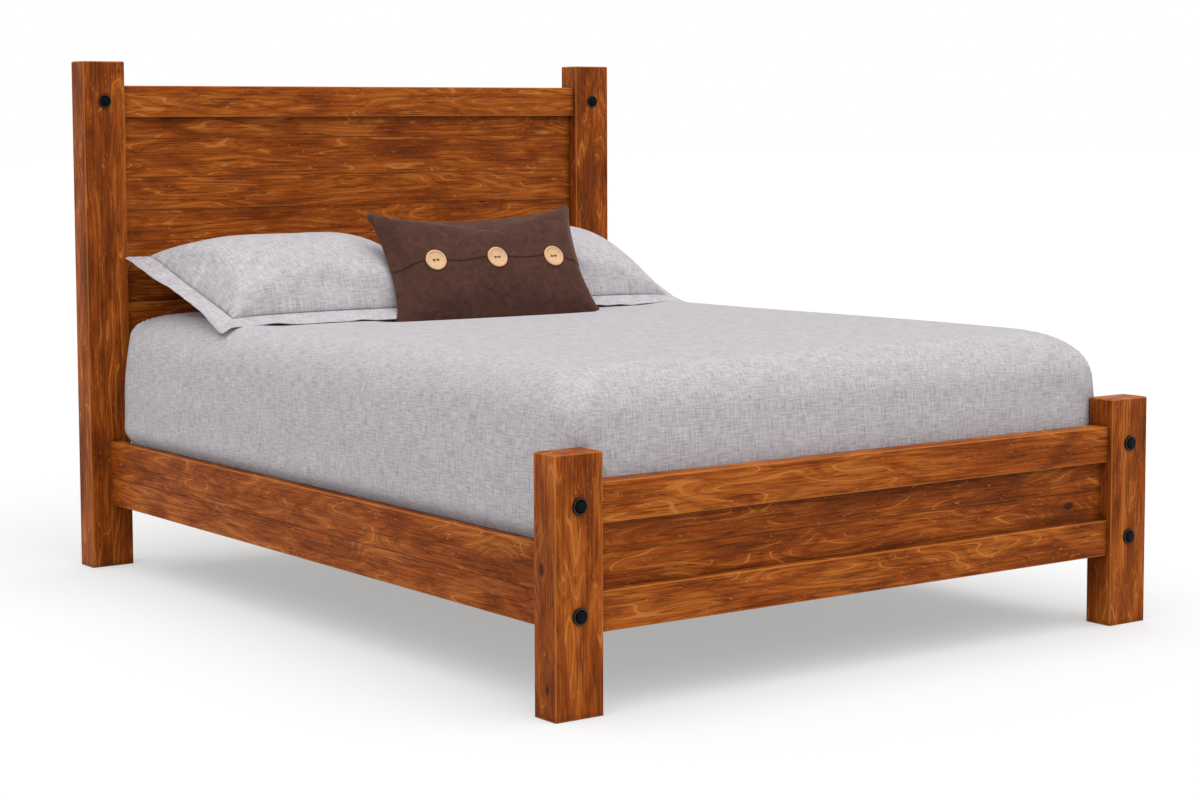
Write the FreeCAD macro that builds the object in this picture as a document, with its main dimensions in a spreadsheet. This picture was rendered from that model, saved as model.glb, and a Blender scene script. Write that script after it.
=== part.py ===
import FreeCAD, Part
import Sketcher
import math
import os
import re

# A timber bed for a 1524 x 2032 mm mattress, dressed with bedding. Lengths are in millimetres.
# X runs across the bed, +Y towards the headboard and +Z up. The origin lies on the floor,
# under the middle of the whole bed.

SIZES = {
    # The frame as a whole
    "mattress_width": 1524,         # the frame is built round the mattress
    "mattress_length": 2032,
    "side_play": 2.7,               # coverlet to side rail
    "foot_play": 11.7,              # coverlet to the rails at the foot
    "head_gap": 52,                 # mattress to the head posts
    "joint_gap": 0.3,               # play of a tenon, tongue or shank in its seat
    "soft_gap": 0.3,                # between a soft piece and what carries it
    "cut_overrun": 5,               # how far a cutting solid reaches past a face
    # Posts
    "post_width": 119,
    "post_depth": 76,
    "head_post_height": 1354,
    "foot_post_height": 538,
    "post_easing": 4,               # radius of the four long edges
    "post_top_chamfer": 3,
    # Rails of the headboard and the footboard
    "cross_rail_height": 84,
    "cross_rail_thickness": 50,
    "cross_rail_easing": 3,
    "head_top_rail_drop": 64,       # top of the post to top of the rail
    "foot_top_rail_drop": 65,
    "head_bottom_rail_height": 124,
    "head_bottom_rail_rise": 584,   # floor to the underside of the rail
    "foot_bottom_rail_rise": 167,
    "tenon_length": 88,
    "tenon_thickness": 22,
    "tenon_shoulder": 14,           # above and below the tenon
    # Boards of the two panels
    "panel_thickness": 18,
    "panel_setback": 22,            # face of the rail to face of the panel
    "groove_depth": 11,             # of the grooves that hold the panel's edges
    "seam_chamfer": 2.5,
    "tongue_thickness": 6,
    "tongue_depth": 7,
    # Side rails
    "side_rail_rise": 167,
    "side_rail_height": 171,
    "side_rail_thickness": 32,
    "side_rail_inset": 56,          # outside of the post to outside of the rail
    "side_rail_easing": 3,
    # Dished bolts that pin the tenons
    "bolt_proud": 6,                # crown of the button to the face of the post
    "bolt_button_radius": 10.5,     # round the middle of the head
    "bolt_rim_radius": 17.5,
    "bolt_rim_width": 3.5,
    "bolt_rim_height": 4.5,
    "bolt_dish_floor": 1.8,         # thickness of the head under the button
    "bolt_shank_radius": 5,
    "bolt_reach": 62,               # into the post
    # Hooked plates that join the side rails to the posts
    "plate_width": 18,
    "plate_height": 130,
    "plate_thickness": 2.5,
    "hook_pitch": 60,
    "hook_thickness": 3,
    "hook_drop": 12,
    "hook_neck_height": 14,
    "hook_nose_thickness": 5,
    "slot_clearance": 1,            # round a hook in its slot
    # Ledgers, slats and the middle beam
    "ledger_size": 38,              # square
    "ledger_setup": 3,              # above the underside of the side rail
    "ledger_end_gap": 60,
    "slat_count": 11,
    "slat_width": 89,
    "slat_thickness": 19,
    "slat_end_gap": 2,
    "slat_margin": 70,              # post to the middle of the first slat
    "board_chamfer": 2,             # of the ledgers, slats, beam and legs
    "beam_width": 64,
    "beam_height": 38,
    "beam_overhang": 60,            # past the last leg
    "stirrup_thickness": 2.5,
    "stirrup_depth": 45,
    "stirrup_wall_height": 30,
    "stirrup_plate_width": 124,
    "stirrup_plate_height": 52,
    "leg_count": 3,
    "leg_size": 50,                 # square
    "leg_pitch": 660,
    "leg_head_setback": 90,         # head posts to the last leg
    "leg_foot_height": 20,          # rubber foot under each leg
    "leg_foot_top_radius": 18,
    "leg_foot_bottom_radius": 14,
    # Foundation and mattress
    "mattress_height": 267,
    "mattress_top_radius": 100,
    "mattress_end_radius": 62,
    "foundation_height": 180,
    # Coverlet
    "coverlet_thickness": 5,
    "coverlet_tuck": 40,            # below the top of the side rails
    "coverlet_head_drop": 120,      # from the top of the bed, at the head end
    # Pillow shams
    "sham_side_margin": 26,         # side of the mattress to the end of the sham
    "sham_depth": 552,
    "sham_thickness": 190,
    "sham_flange": 46,
    "flange_thickness": 4,
    "sham_edge": 9,                 # thickness of the filled part at its seam
    "sham_draw": 14,                # how far each side is drawn in at its middle
    "sham_tilt": 17,                # degrees
    "sham_headboard_gap": 4,
    "sham_middle_gap": 4,           # between the two shams
    # Lumbar cushion
    "cushion_length": 610,
    "cushion_depth": 352,
    "cushion_thickness": 135,
    "cushion_edge": 6,
    "cushion_draw": 10,
    "cushion_tilt": 57,             # degrees from lying flat
    "cushion_turn": 6,              # degrees, its right end nearer the foot
    "cushion_offset": 80,           # middle of the bed to the middle of the cushion
    "cushion_sham_gap": 3,          # behind the cushion, where it leans on the shams
    # Wooden buttons of the cushion
    "button_radius": 29,
    "button_height": 6,
    "button_rim": 5,
    "button_dish": 2,
    "button_hole_radius": 2.6,
    "button_hole_pitch": 11,
    "button_count": 3,
    "button_pitch": 172,
    "button_shift": 12,             # middle of the cushion to the middle button
    "button_rise": 30,              # middle of the cushion to the row of buttons
    "button_gap": 0.6,              # between a button and the cloth under it
}

# Shares of a panel's open height that its boards show, from the lowest board up.
HEAD_PLANK_SHARES = (0.165, 0.165, 0.165, 0.179, 0.211, 0.115)
FOOT_BOARD_SHARES = (0.52, 0.48)

# A pillow is lofted through this many sections. Its crown falls away from the middle to its
# ends by a power of the share of the half length, down to the end's share of the full crown.
SECTION_COUNT = 17
CROWN_POWER = 4
CROWN_END_SHARE = 0.1
# The share of a pillow's thickness that lies above its seam.
SHAM_UPPER_SHARE = 0.68
CUSHION_UPPER_SHARE = 0.5

# Points this close are the same point.
SAME_PLACE = 1e-4

# Places and lengths that follow from the sizes
LAYOUT = {
    "bedding_skin": "soft_gap + coverlet_thickness",
    "side_margin": "bedding_skin + side_play + side_rail_thickness + side_rail_inset",
    "bed_width": "mattress_width + 2 * side_margin",
    "mattress_foot_gap": "bedding_skin + foot_play",
    "foot_margin": "(post_depth + cross_rail_thickness) / 2 + mattress_foot_gap",
    "bed_length": "foot_margin + mattress_length + head_gap + post_depth",
    "head_top_rail_rise": "head_post_height - head_top_rail_drop - cross_rail_height",
    "foot_top_rail_rise": "foot_post_height - foot_top_rail_drop - cross_rail_height",
    "post_x": "(bed_width - post_width) / 2",
    "head_y": "(bed_length + bolt_proud - post_depth) / 2",
    "foot_y": "(bolt_proud - bed_length + post_depth) / 2",
    "middle_y": "bolt_proud / 2",
    "frame_span": "bed_width - 2 * post_width",
    "side_span": "bed_length - 2 * post_depth",
    "panel_front": "panel_setback - cross_rail_thickness / 2",
    "panel_middle": "panel_front + panel_thickness / 2",
    "board_embed": "groove_depth - joint_gap",
    "panel_length": "frame_span + 2 * board_embed",
    "head_panel_rise": "head_bottom_rail_rise + head_bottom_rail_height",
    "foot_panel_rise": "foot_bottom_rail_rise + cross_rail_height",
    "side_x": "bed_width / 2 - side_rail_inset - side_rail_thickness / 2",
    "side_inner_x": "side_x - side_rail_thickness / 2",
    "plate_offset": "post_x - side_x",
    "plate_rise": "side_rail_rise + side_rail_height / 2",
    "plate_face_y": "middle_y - side_span / 2",
    "hook_reach": "plate_thickness + slot_clearance + hook_nose_thickness",
    "ledger_x": "side_inner_x - ledger_size / 2",
    "ledger_rise": "side_rail_rise + ledger_setup",
    "ledger_length": "side_span - 2 * ledger_end_gap",
    "slat_rise": "ledger_rise + ledger_size",
    "slat_length": "2 * (side_inner_x - slat_end_gap)",
    "slat_pitch": "(side_span - 2 * slat_margin) / (slat_count - 1)",
    "beam_rise": "slat_rise - beam_height",
    "foot_rail_back": "foot_y + cross_rail_thickness / 2",
    "beam_start": "foot_rail_back + stirrup_thickness + joint_gap",
    "last_leg_y": "head_y - post_depth / 2 - leg_head_setback",
    "beam_length": "last_leg_y + beam_overhang - beam_start",
    "leg_run": "leg_pitch * (leg_count - 1)",
    "leg_height": "beam_rise - leg_foot_height",
    "foundation_rise": "slat_rise + slat_thickness + soft_gap",
    "mattress_rise": "foundation_rise + foundation_height + soft_gap",
    "mattress_foot_y": "foot_rail_back + mattress_foot_gap",
    "mattress_head_y": "mattress_foot_y + mattress_length",
    "coverlet_hem": "side_rail_rise + side_rail_height - coverlet_tuck",
    "bed_top": "mattress_rise + mattress_height + bedding_skin",
    "sham_length": "(mattress_width - sham_middle_gap) / 2 - sham_side_margin",
    "head_panel_front_y": "head_y + panel_front",
}


def formula(text):
    """The text with each plain word turned into a reference to the value it names."""

    def spell(match):
        word = match.group(0)
        return ("Layout." if word in LAYOUT else "Sizes.") + word

    return re.sub(r"[a-z][a-z_]*", spell, text)


def make_sheet():
    """The spreadsheet of driving dimensions, one named cell per size."""
    sheet = doc.addObject("Spreadsheet::Sheet", "Sizes")
    for row, (word, value) in enumerate(SIZES.items(), 1):
        sheet.set(f"A{row}", word)
        sheet.set(f"B{row}", str(value))
        sheet.setAlias(f"B{row}", word)
    doc.recompute()
    return sheet


def make_layout():
    """The set of derived values, each bound to the spreadsheet by its formula."""
    values = doc.addObject("App::VarSet", "Layout")
    for word in LAYOUT:
        values.addProperty("App::PropertyFloat", word)
    for word, text in LAYOUT.items():
        values.setExpression(word, formula(text))
    doc.recompute()
    return values


# Bodies, sketches and features

def new_body(label, x="0", y="0", z="0"):
    """An empty body whose own origin stands at the place given by three formulas."""
    body = doc.addObject("PartDesign::Body", label)
    body.Label = label
    for axis, text in (("x", x), ("y", y), ("z", z)):
        body.setExpression(f".Placement.Base.{axis}", formula(text))
    return body


def origin_feature(body, role):
    return next(item for item in body.Origin.OriginFeatures if item.Role == role)


def new_sketch(body, name, role, lift="0"):
    """A sketch on one of the body's own planes, lifted along the plane's normal."""
    sketch = body.newObject("Sketcher::SketchObject", name)
    sketch.AttachmentSupport = [(origin_feature(body, role), "")]
    sketch.MapMode = "FlatFace"
    sketch.setExpression(".AttachmentOffset.Base.z", formula(lift))
    return sketch


def bind_point(sketch, edge, point, place):
    """Hold a point of an edge at the place given by two formulas."""
    for kind, text in zip(("DistanceX", "DistanceY"), place):
        number = sketch.addConstraint(Sketcher.Constraint(kind, -1, 1, edge, point, 1))
        sketch.setExpression(f"Constraints[{number}]", formula(text))


def draw_outline(sketch, corners):
    """A closed run of straight edges through corners given by pairs of formulas."""
    count = len(corners)
    turns = [2 * math.pi * index / count for index in range(count)]
    points = [FreeCAD.Vector(math.cos(turn), math.sin(turn)) for turn in turns]
    for index in range(count):
        sketch.addGeometry(Part.LineSegment(points[index], points[(index + 1) % count]))
    for index in range(count):
        sketch.addConstraint(Sketcher.Constraint("Coincident", index, 2, (index + 1) % count, 1))
        bind_point(sketch, index, 1, corners[index])


def draw_rectangle(sketch, low, high):
    draw_outline(sketch, (low, (high[0], low[1]), high, (low[0], high[1])))


def draw_circle(sketch, centre, radius):
    edge = sketch.addGeometry(Part.Circle(FreeCAD.Vector(), FreeCAD.Vector(0, 0, 1), 1))
    number = sketch.addConstraint(Sketcher.Constraint("Radius", edge, 1))
    sketch.setExpression(f"Constraints[{number}]", formula(radius))
    bind_point(sketch, edge, 3, centre)


def add_pad(body, sketch, name, length, both_ways=False, reverse=False):
    pad = body.newObject("PartDesign::Pad", name)
    pad.Profile = sketch
    pad.setExpression("Length", formula(length))
    pad.Midplane = both_ways
    pad.Reversed = reverse
    return pad


def add_pocket(body, sketch, name, depth, both_ways=False, reverse=False):
    pocket = body.newObject("PartDesign::Pocket", name)
    pocket.Profile = sketch
    pocket.setExpression("Length", formula(depth))
    pocket.Midplane = both_ways
    pocket.Reversed = reverse
    return pocket


def add_turning(body, sketch, name, axis="V_Axis"):
    turning = body.newObject("PartDesign::Revolution", name)
    turning.Profile = sketch
    turning.ReferenceAxis = (sketch, [axis])
    return turning


def ease_edges(body, base, kind, name, amount, wanted):
    """A Fillet or a Chamfer on the edges of a feature that the test picks out."""
    doc.recompute()
    names = [f"Edge{number}" for number, edge in enumerate(base.Shape.Edges, 1) if wanted(edge)]
    easing = body.newObject("PartDesign::" + kind, name)
    easing.Base = (base, names)
    easing.setExpression("Radius" if kind == "Fillet" else "Size", formula(amount))
    return easing


def add_row(body, first, name, role, length, count):
    """Copies of a feature in a straight row along one of the body's axes."""
    doc.recompute()
    row = body.newObject("PartDesign::LinearPattern", name)
    row.Originals = [first]
    row.Direction = (origin_feature(body, role), [""])
    row.setExpression("Length", formula(length))
    row.setExpression("Occurrences", formula(count))
    body.Tip = row
    return row


def runs_along(axis):
    """A test for straight edges parallel to one axis."""

    def test(edge):
        straight = isinstance(edge.Curve, Part.Line)
        return straight and abs(getattr(edge.Curve.Direction, axis)) > math.cos(math.radians(1))

    return test


def lies_at(height):
    """A test for edges that lie wholly at one height of the body."""

    def test(edge):
        box = edge.BoundBox
        return max(abs(box.ZMin - height), abs(box.ZMax - height)) < SAME_PLACE

    return test


def mirrored(source, name, axis, place="0"):
    """The mirror image of an object across a plane square to one axis."""
    image = doc.addObject("Part::Mirroring", name)
    image.Source = source
    image.Normal = FreeCAD.Vector(*(float(letter == axis) for letter in "xyz"))
    image.setExpression(f".Base.{axis}", formula(place))
    return image


def grouped(label, items):
    """Identical pieces as one group of separate solids."""
    group = doc.addObject("Part::Compound", label)
    group.Label = label
    group.Links = items
    return group


def pair_across(label, *sources):
    """Pieces of the left side and their images on the right."""
    return grouped(label, [*sources, *(mirrored(item, item.Name + "_right", "x") for item in sources)])


def four_corners(label, source):
    """A piece of the left foot corner and its images at the other three."""
    right = mirrored(source, source.Name + "_right", "x")
    head_left = mirrored(source, source.Name + "_head_left", "y", "middle_y")
    head_right = mirrored(right, source.Name + "_head_right", "y", "middle_y")
    return grouped(label, [source, right, head_left, head_right])


# Posts

def cut_mortise(body, side, rise, height):
    """A blind mortise in the post's inner face for one rail's tenon."""
    sketch = new_sketch(body, f"{rise}_mortise_outline", "YZ_Plane", f"{-side} * post_width / 2")
    low = ("-tenon_thickness / 2 - joint_gap", f"{rise} + tenon_shoulder - joint_gap")
    high = ("tenon_thickness / 2 + joint_gap", f"{rise} + {height} - tenon_shoulder + joint_gap")
    draw_rectangle(sketch, low, high)
    add_pocket(body, sketch, f"{rise}_mortise", "tenon_length + joint_gap", reverse=side > 0)


def cut_panel_groove(body, side, bottom, top):
    """A groove for the ends of the panel's boards, as long as the boards stand in the rails."""
    sketch = new_sketch(body, "panel_groove_outline", "YZ_Plane", f"{-side} * post_width / 2")
    low = ("panel_front - joint_gap", f"{bottom} - groove_depth")
    high = ("panel_front + panel_thickness + joint_gap", f"{top} + groove_depth")
    draw_rectangle(sketch, low, high)
    add_pocket(body, sketch, "panel_groove", "groove_depth", reverse=side > 0)


def cut_bolt_bore(body, rise):
    sketch = new_sketch(body, f"{rise}_bore_outline", "XZ_Plane", "post_depth / 2")
    draw_circle(sketch, ("0", f"{rise} + cross_rail_height / 2"), "bolt_shank_radius + joint_gap")
    add_pocket(body, sketch, f"{rise}_bore", "bolt_reach + joint_gap")


def cut_plate_seat(body, side, end):
    """The recess of a slotted plate and the hooks' pockets behind it."""
    lift = f"{end} * post_depth / 2"
    outward = end < 0
    middle = f"{-side} * plate_offset"
    seat = new_sketch(body, "plate_seat_outline", "XZ_Plane", lift)
    draw_rectangle(
        seat,
        (f"{middle} - plate_width / 2", "plate_rise - plate_height / 2"),
        (f"{middle} + plate_width / 2", "plate_rise + plate_height / 2"),
    )
    add_pocket(body, seat, "plate_seat", "plate_thickness", reverse=outward)
    for name, sign in (("lower", "-"), ("upper", "+")):
        hook = f"plate_rise {sign} hook_pitch / 2"
        room = new_sketch(body, f"{name}_hook_room_outline", "XZ_Plane", lift)
        draw_rectangle(
            room,
            (f"{middle} - hook_thickness / 2 - slot_clearance",
             f"{hook} - hook_neck_height / 2 - hook_drop - slot_clearance"),
            (f"{middle} + hook_thickness / 2 + slot_clearance",
             f"{hook} + hook_neck_height / 2 + hook_drop + slot_clearance"),
        )
        add_pocket(body, room, f"{name}_hook_room", "hook_reach + slot_clearance", reverse=outward)


def make_post(label, side, end, height, rails, bolted, panel):
    """A square-sawn post with eased edges and the seats of everything that joins it.

    side is -1 at the left and 1 at the right, end is -1 at the foot and 1 at the head.
    """
    body = new_body(label, f"{side} * post_x", "head_y" if end > 0 else "foot_y")
    section = new_sketch(body, "section", "XY_Plane")
    draw_rectangle(section, ("-post_width / 2", "-post_depth / 2"), ("post_width / 2", "post_depth / 2"))
    blank = add_pad(body, section, "blank", height)
    eased = ease_edges(body, blank, "Fillet", "side_easing", "post_easing", runs_along("z"))
    above = lies_at(blank.Shape.BoundBox.ZMax)
    ease_edges(body, eased, "Chamfer", "top_chamfer", "post_top_chamfer", above)
    for rise, rail_height in rails:
        cut_mortise(body, side, rise, rail_height)
    for rise in bolted:
        cut_bolt_bore(body, rise)
    cut_panel_groove(body, side, *panel)
    cut_plate_seat(body, side, end)
    return body


def make_posts():
    foot_rises = ("foot_bottom_rail_rise", "foot_top_rail_rise")
    foot_rails = [(rise, "cross_rail_height") for rise in foot_rises]
    head_rails = (
        ("head_bottom_rail_rise", "head_bottom_rail_height"), ("head_top_rail_rise", "cross_rail_height"),
    )
    head_panel = ("head_panel_rise", "head_top_rail_rise")
    foot_panel = ("foot_panel_rise", "foot_top_rail_rise")
    posts = []
    for name, side in (("left", -1), ("right", 1)):
        posts += [
            make_post(
                f"head_post_{name}", side, 1, "head_post_height", head_rails, ["head_top_rail_rise"],
                head_panel,
            ),
            make_post(
                f"foot_post_{name}", side, -1, "foot_post_height", foot_rails, foot_rises, foot_panel,
            ),
        ]
    return posts


# Rails and panels of the two ends

def make_cross_rail(label, y, rise, groove_on_top, bolted, height="cross_rail_height"):
    """A rail with a tenon at each end, bolted or glued, and a groove for the panel's edge."""
    body = new_body(label, y=y, z=rise)
    section = new_sketch(body, "section", "YZ_Plane")
    high = ("cross_rail_thickness / 2", height)
    draw_rectangle(section, ("-cross_rail_thickness / 2", "0"), high)
    blank = add_pad(body, section, "blank", "frame_span", both_ways=True)
    ease_edges(body, blank, "Fillet", "easing", "cross_rail_easing", runs_along("x"))
    tenon = new_sketch(body, "tenon_section", "YZ_Plane")
    low = ("-tenon_thickness / 2", "tenon_shoulder")
    draw_rectangle(tenon, low, ("tenon_thickness / 2", f"{height} - tenon_shoulder"))
    add_pad(body, tenon, "tenons", "frame_span + 2 * tenon_length", both_ways=True)
    groove = new_sketch(body, "groove_section", "YZ_Plane")
    floor = f"{height} - groove_depth" if groove_on_top else "0"
    low = ("panel_front - joint_gap", floor)
    draw_rectangle(groove, low, ("panel_front + panel_thickness + joint_gap", f"{floor} + groove_depth"))
    add_pocket(body, groove, "groove", "frame_span", both_ways=True)
    if bolted:
        bores = new_sketch(body, "bolt_bores_outline", "XZ_Plane")
        for side in (-1, 1):
            centre = (f"{side} * post_x", f"{height} / 2")
            draw_circle(bores, centre, "bolt_shank_radius + joint_gap")
        add_pocket(body, bores, "bolt_bores", "cross_rail_thickness", both_ways=True)
    return body


def board_section(height, tongue_on_top, groove_below):
    """Corners of a board's section: chamfered front, a tongue above and a groove below."""
    front = "-panel_thickness / 2"
    back = "panel_thickness / 2"
    if groove_below:
        mouth = "tongue_thickness / 2 + joint_gap"
        depth = "tongue_depth + joint_gap"
        corners = [
            (front, "seam_chamfer"), (f"{front} + seam_chamfer", "0"),
            (f"-({mouth})", "0"), (f"-({mouth})", depth), (mouth, depth), (mouth, "0"), (back, "0"),
        ]
    else:
        corners = [(front, "-board_embed"), (back, "-board_embed")]
    if tongue_on_top:
        edge = "tongue_thickness / 2"
        tip = f"{height} + tongue_depth"
        corners += [
            (back, height), (edge, height), (edge, tip), (f"-{edge}", tip), (f"-{edge}", height),
            (f"{front} + seam_chamfer", height), (front, f"{height} - seam_chamfer"),
        ]
    else:
        corners += [(back, f"{height} + board_embed"), (front, f"{height} + board_embed")]
    return corners


def make_panel(labels, post_y, rise, heights):
    """Boards stacked from the lower rail's groove up to the upper rail's groove."""
    boards = []
    last = len(labels) - 1
    for index, (label, height) in enumerate(zip(labels, heights)):
        body = new_body(label, y=f"{post_y} + panel_middle", z=rise)
        section = new_sketch(body, "section", "YZ_Plane")
        draw_outline(section, board_section(height, index < last, index > 0))
        add_pad(body, section, "board", "panel_length", both_ways=True)
        boards.append(body)
        rise = f"{rise} + {height}"
    return boards


def make_ends():
    """The rails and boards that fill the headboard and the footboard between their posts."""
    head_heights = [f"{share} * (head_top_rail_rise - head_panel_rise)" for share in HEAD_PLANK_SHARES]
    head_labels = [f"headboard_plank_{number}" for number in range(1, len(head_heights) + 1)]
    foot_heights = [f"{share} * (foot_top_rail_rise - foot_panel_rise)" for share in FOOT_BOARD_SHARES]
    foot_labels = ["foot_panel_board_lower", "foot_panel_board_upper"]
    return [
        make_cross_rail("head_top_rail", "head_y", "head_top_rail_rise", False, True),
        make_cross_rail(
            "head_bottom_rail", "head_y", "head_bottom_rail_rise", True, False, "head_bottom_rail_height",
        ),
        make_cross_rail("foot_top_rail", "foot_y", "foot_top_rail_rise", False, True),
        make_cross_rail("foot_bottom_rail", "foot_y", "foot_bottom_rail_rise", True, True),
        *make_panel(head_labels, "head_y", "head_panel_rise", head_heights),
        *make_panel(foot_labels, "foot_y", "foot_panel_rise", foot_heights),
    ]


# Bolts that pin the tenons

def make_bolt(name, y, rise):
    """A bolt through the post's face into the rail's tenon.

    Its round head has a raised rim, a dish inside it and a button in the middle.
    """
    body = new_body(name, "-post_x", f"{y} - post_depth / 2", f"{rise} + cross_rail_height / 2")
    section = new_sketch(body, "section", "YZ_Plane")
    draw_outline(section, (
        ("-bolt_proud", "0"),
        ("bolt_reach", "0"),
        ("bolt_reach", "bolt_shank_radius"),
        ("0", "bolt_shank_radius"),
        ("0", "bolt_rim_radius"),
        ("-bolt_rim_height", "bolt_rim_radius"),
        ("-bolt_rim_height", "bolt_rim_radius - bolt_rim_width"),
        ("-bolt_dish_floor", "bolt_button_radius"),
        ("-bolt_proud", "bolt_button_radius"),
    ))
    add_turning(body, section, "bolt", "H_Axis")
    return body


def make_bolts():
    head = make_bolt("head_bolt", "head_y", "head_top_rail_rise")
    lower = make_bolt("foot_lower_bolt", "foot_y", "foot_bottom_rail_rise")
    upper = make_bolt("foot_upper_bolt", "foot_y", "foot_top_rail_rise")
    return [pair_across("head_tenon_bolts", head), pair_across("foot_tenon_bolts", lower, upper)]


# Side rails and the hooked plates that join them to the posts

def make_side_rail(label, side):
    """A side rail with recesses in its two ends for the hooked plates."""
    body = new_body(label, f"{side} * side_x", "middle_y", "side_rail_rise")
    section = new_sketch(body, "section", "XZ_Plane")
    high = ("side_rail_thickness / 2", "side_rail_height")
    draw_rectangle(section, ("-side_rail_thickness / 2", "0"), high)
    blank = add_pad(body, section, "blank", "side_span", both_ways=True)
    ease_edges(body, blank, "Fillet", "easing", "side_rail_easing", runs_along("y"))
    low = ("-plate_width / 2", "(side_rail_height - plate_height) / 2")
    high = ("plate_width / 2", "(side_rail_height + plate_height) / 2")
    for name, end in (("foot", -1), ("head", 1)):
        seat = new_sketch(body, f"{name}_plate_seat_outline", "XZ_Plane", f"{-end} * side_span / 2")
        draw_rectangle(seat, low, high)
        add_pocket(body, seat, f"{name}_plate_seat", "plate_thickness", reverse=end > 0)
    return body


def make_plate(name, reverse):
    """A flat plate, its outer face on the plane where the side rail meets the post."""
    body = new_body(name, "-side_x", "plate_face_y", "plate_rise")
    outline = new_sketch(body, "outline", "XZ_Plane")
    high = ("plate_width / 2", "plate_height / 2")
    draw_rectangle(outline, ("-plate_width / 2", "-plate_height / 2"), high)
    add_pad(body, outline, "plate", "plate_thickness", reverse=reverse)
    return body


def make_rail_plates():
    """The plates on the ends of the side rails, each with two hooks that point down."""
    body = make_plate("rail_plate", True)
    for place, sign in (("lower", "-"), ("upper", "+")):
        hook = f"{sign}hook_pitch / 2"
        inner = "hook_nose_thickness - hook_reach"
        top = f"{hook} + hook_neck_height / 2"
        neck = f"{hook} - hook_neck_height / 2"
        nose = f"{neck} - hook_drop"
        profile = new_sketch(body, f"{place}_hook_profile", "YZ_Plane")
        draw_outline(profile, (
            ("0", top), ("-hook_reach", top), ("-hook_reach", nose),
            (inner, nose), (inner, neck), ("0", neck),
        ))
        add_pad(body, profile, f"{place}_hook", "hook_thickness", both_ways=True)
    return four_corners("rail_hook_plates", body)


def make_post_plates():
    """The slotted plates let into the posts, which the hooks drop into and hang on."""
    body = make_plate("post_plate", False)
    for place, sign in (("lower", "-"), ("upper", "+")):
        hook = f"{sign}hook_pitch / 2"
        slot = new_sketch(body, f"{place}_slot_outline", "XZ_Plane")
        draw_rectangle(
            slot,
            ("-hook_thickness / 2 - slot_clearance",
             f"{hook} - hook_neck_height / 2 - joint_gap"),
            ("hook_thickness / 2 + slot_clearance",
             f"{hook} + hook_neck_height / 2 + hook_drop + slot_clearance"),
        )
        add_pocket(body, slot, f"{place}_slot", "plate_thickness", reverse=True)
    return four_corners("post_hook_plates", body)


def make_sides():
    return [
        make_side_rail("side_rail_left", -1),
        make_side_rail("side_rail_right", 1),
        make_rail_plates(),
        make_post_plates(),
    ]


# Ledgers, slats and the middle beam on its legs

def make_ledger(label, side):
    """A square strip along the inside of a side rail, on which the slats lie."""
    body = new_body(label, f"{side} * ledger_x", "middle_y", "ledger_rise")
    section = new_sketch(body, "section", "XZ_Plane")
    draw_rectangle(section, ("-ledger_size / 2", "0"), ("ledger_size / 2", "ledger_size"))
    blank = add_pad(body, section, "blank", "ledger_length", both_ways=True)
    ease_edges(body, blank, "Chamfer", "edges", "board_chamfer", runs_along("y"))
    return body


def make_slats():
    """The slats, laid across from ledger to ledger at an even pitch."""
    slats = []
    for index in range(int(size.slat_count)):
        place = f"middle_y - side_span / 2 + slat_margin + {index} * slat_pitch"
        body = new_body(f"slat_{index + 1:02d}", y=place, z="slat_rise")
        section = new_sketch(body, "section", "YZ_Plane")
        draw_rectangle(section, ("-slat_width / 2", "0"), ("slat_width / 2", "slat_thickness"))
        blank = add_pad(body, section, "blank", "slat_length", both_ways=True)
        ease_edges(body, blank, "Chamfer", "edges", "board_chamfer", runs_along("x"))
        slats.append(body)
    return slats


def make_beam():
    body = new_body("centre_beam", y="beam_start", z="beam_rise")
    section = new_sketch(body, "section", "XZ_Plane")
    draw_rectangle(section, ("-beam_width / 2", "0"), ("beam_width / 2", "beam_height"))
    blank = add_pad(body, section, "blank", "beam_length", reverse=True)
    ease_edges(body, blank, "Chamfer", "edges", "board_chamfer", runs_along("y"))
    return body


def make_stirrup():
    """A bent steel stirrup on the low foot rail, which holds up the beam's foot end."""
    body = new_body("beam_stirrup", y="foot_rail_back", z="beam_rise - stirrup_thickness")
    plate = new_sketch(body, "plate_outline", "XZ_Plane")
    low = ("-stirrup_plate_width / 2", "0")
    draw_rectangle(plate, low, ("stirrup_plate_width / 2", "stirrup_plate_height"))
    add_pad(body, plate, "plate", "stirrup_thickness", reverse=True)
    inner = "beam_width / 2 + joint_gap"
    outer = f"{inner} + stirrup_thickness"
    wall = "stirrup_thickness + stirrup_wall_height"
    cradle = new_sketch(body, "cradle_section", "XZ_Plane")
    draw_outline(cradle, (
        (f"-({outer})", "0"), (outer, "0"), (outer, wall), (inner, wall),
        (inner, "stirrup_thickness"), (f"-({inner})", "stirrup_thickness"),
        (f"-({inner})", wall), (f"-({outer})", wall),
    ))
    add_pad(body, cradle, "cradle", "stirrup_depth", reverse=True)
    return body


def make_legs():
    """Short square legs under the beam."""
    legs = []
    for index in range(int(size.leg_count)):
        place = f"last_leg_y - leg_run + {index} * leg_pitch"
        body = new_body(f"centre_leg_{index + 1}", y=place, z="leg_foot_height")
        section = new_sketch(body, "section", "XY_Plane")
        draw_rectangle(section, ("-leg_size / 2", "-leg_size / 2"), ("leg_size / 2", "leg_size / 2"))
        blank = add_pad(body, section, "blank", "leg_height")
        ease_edges(body, blank, "Chamfer", "edges", "board_chamfer", runs_along("z"))
        legs.append(body)
    return legs


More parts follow.
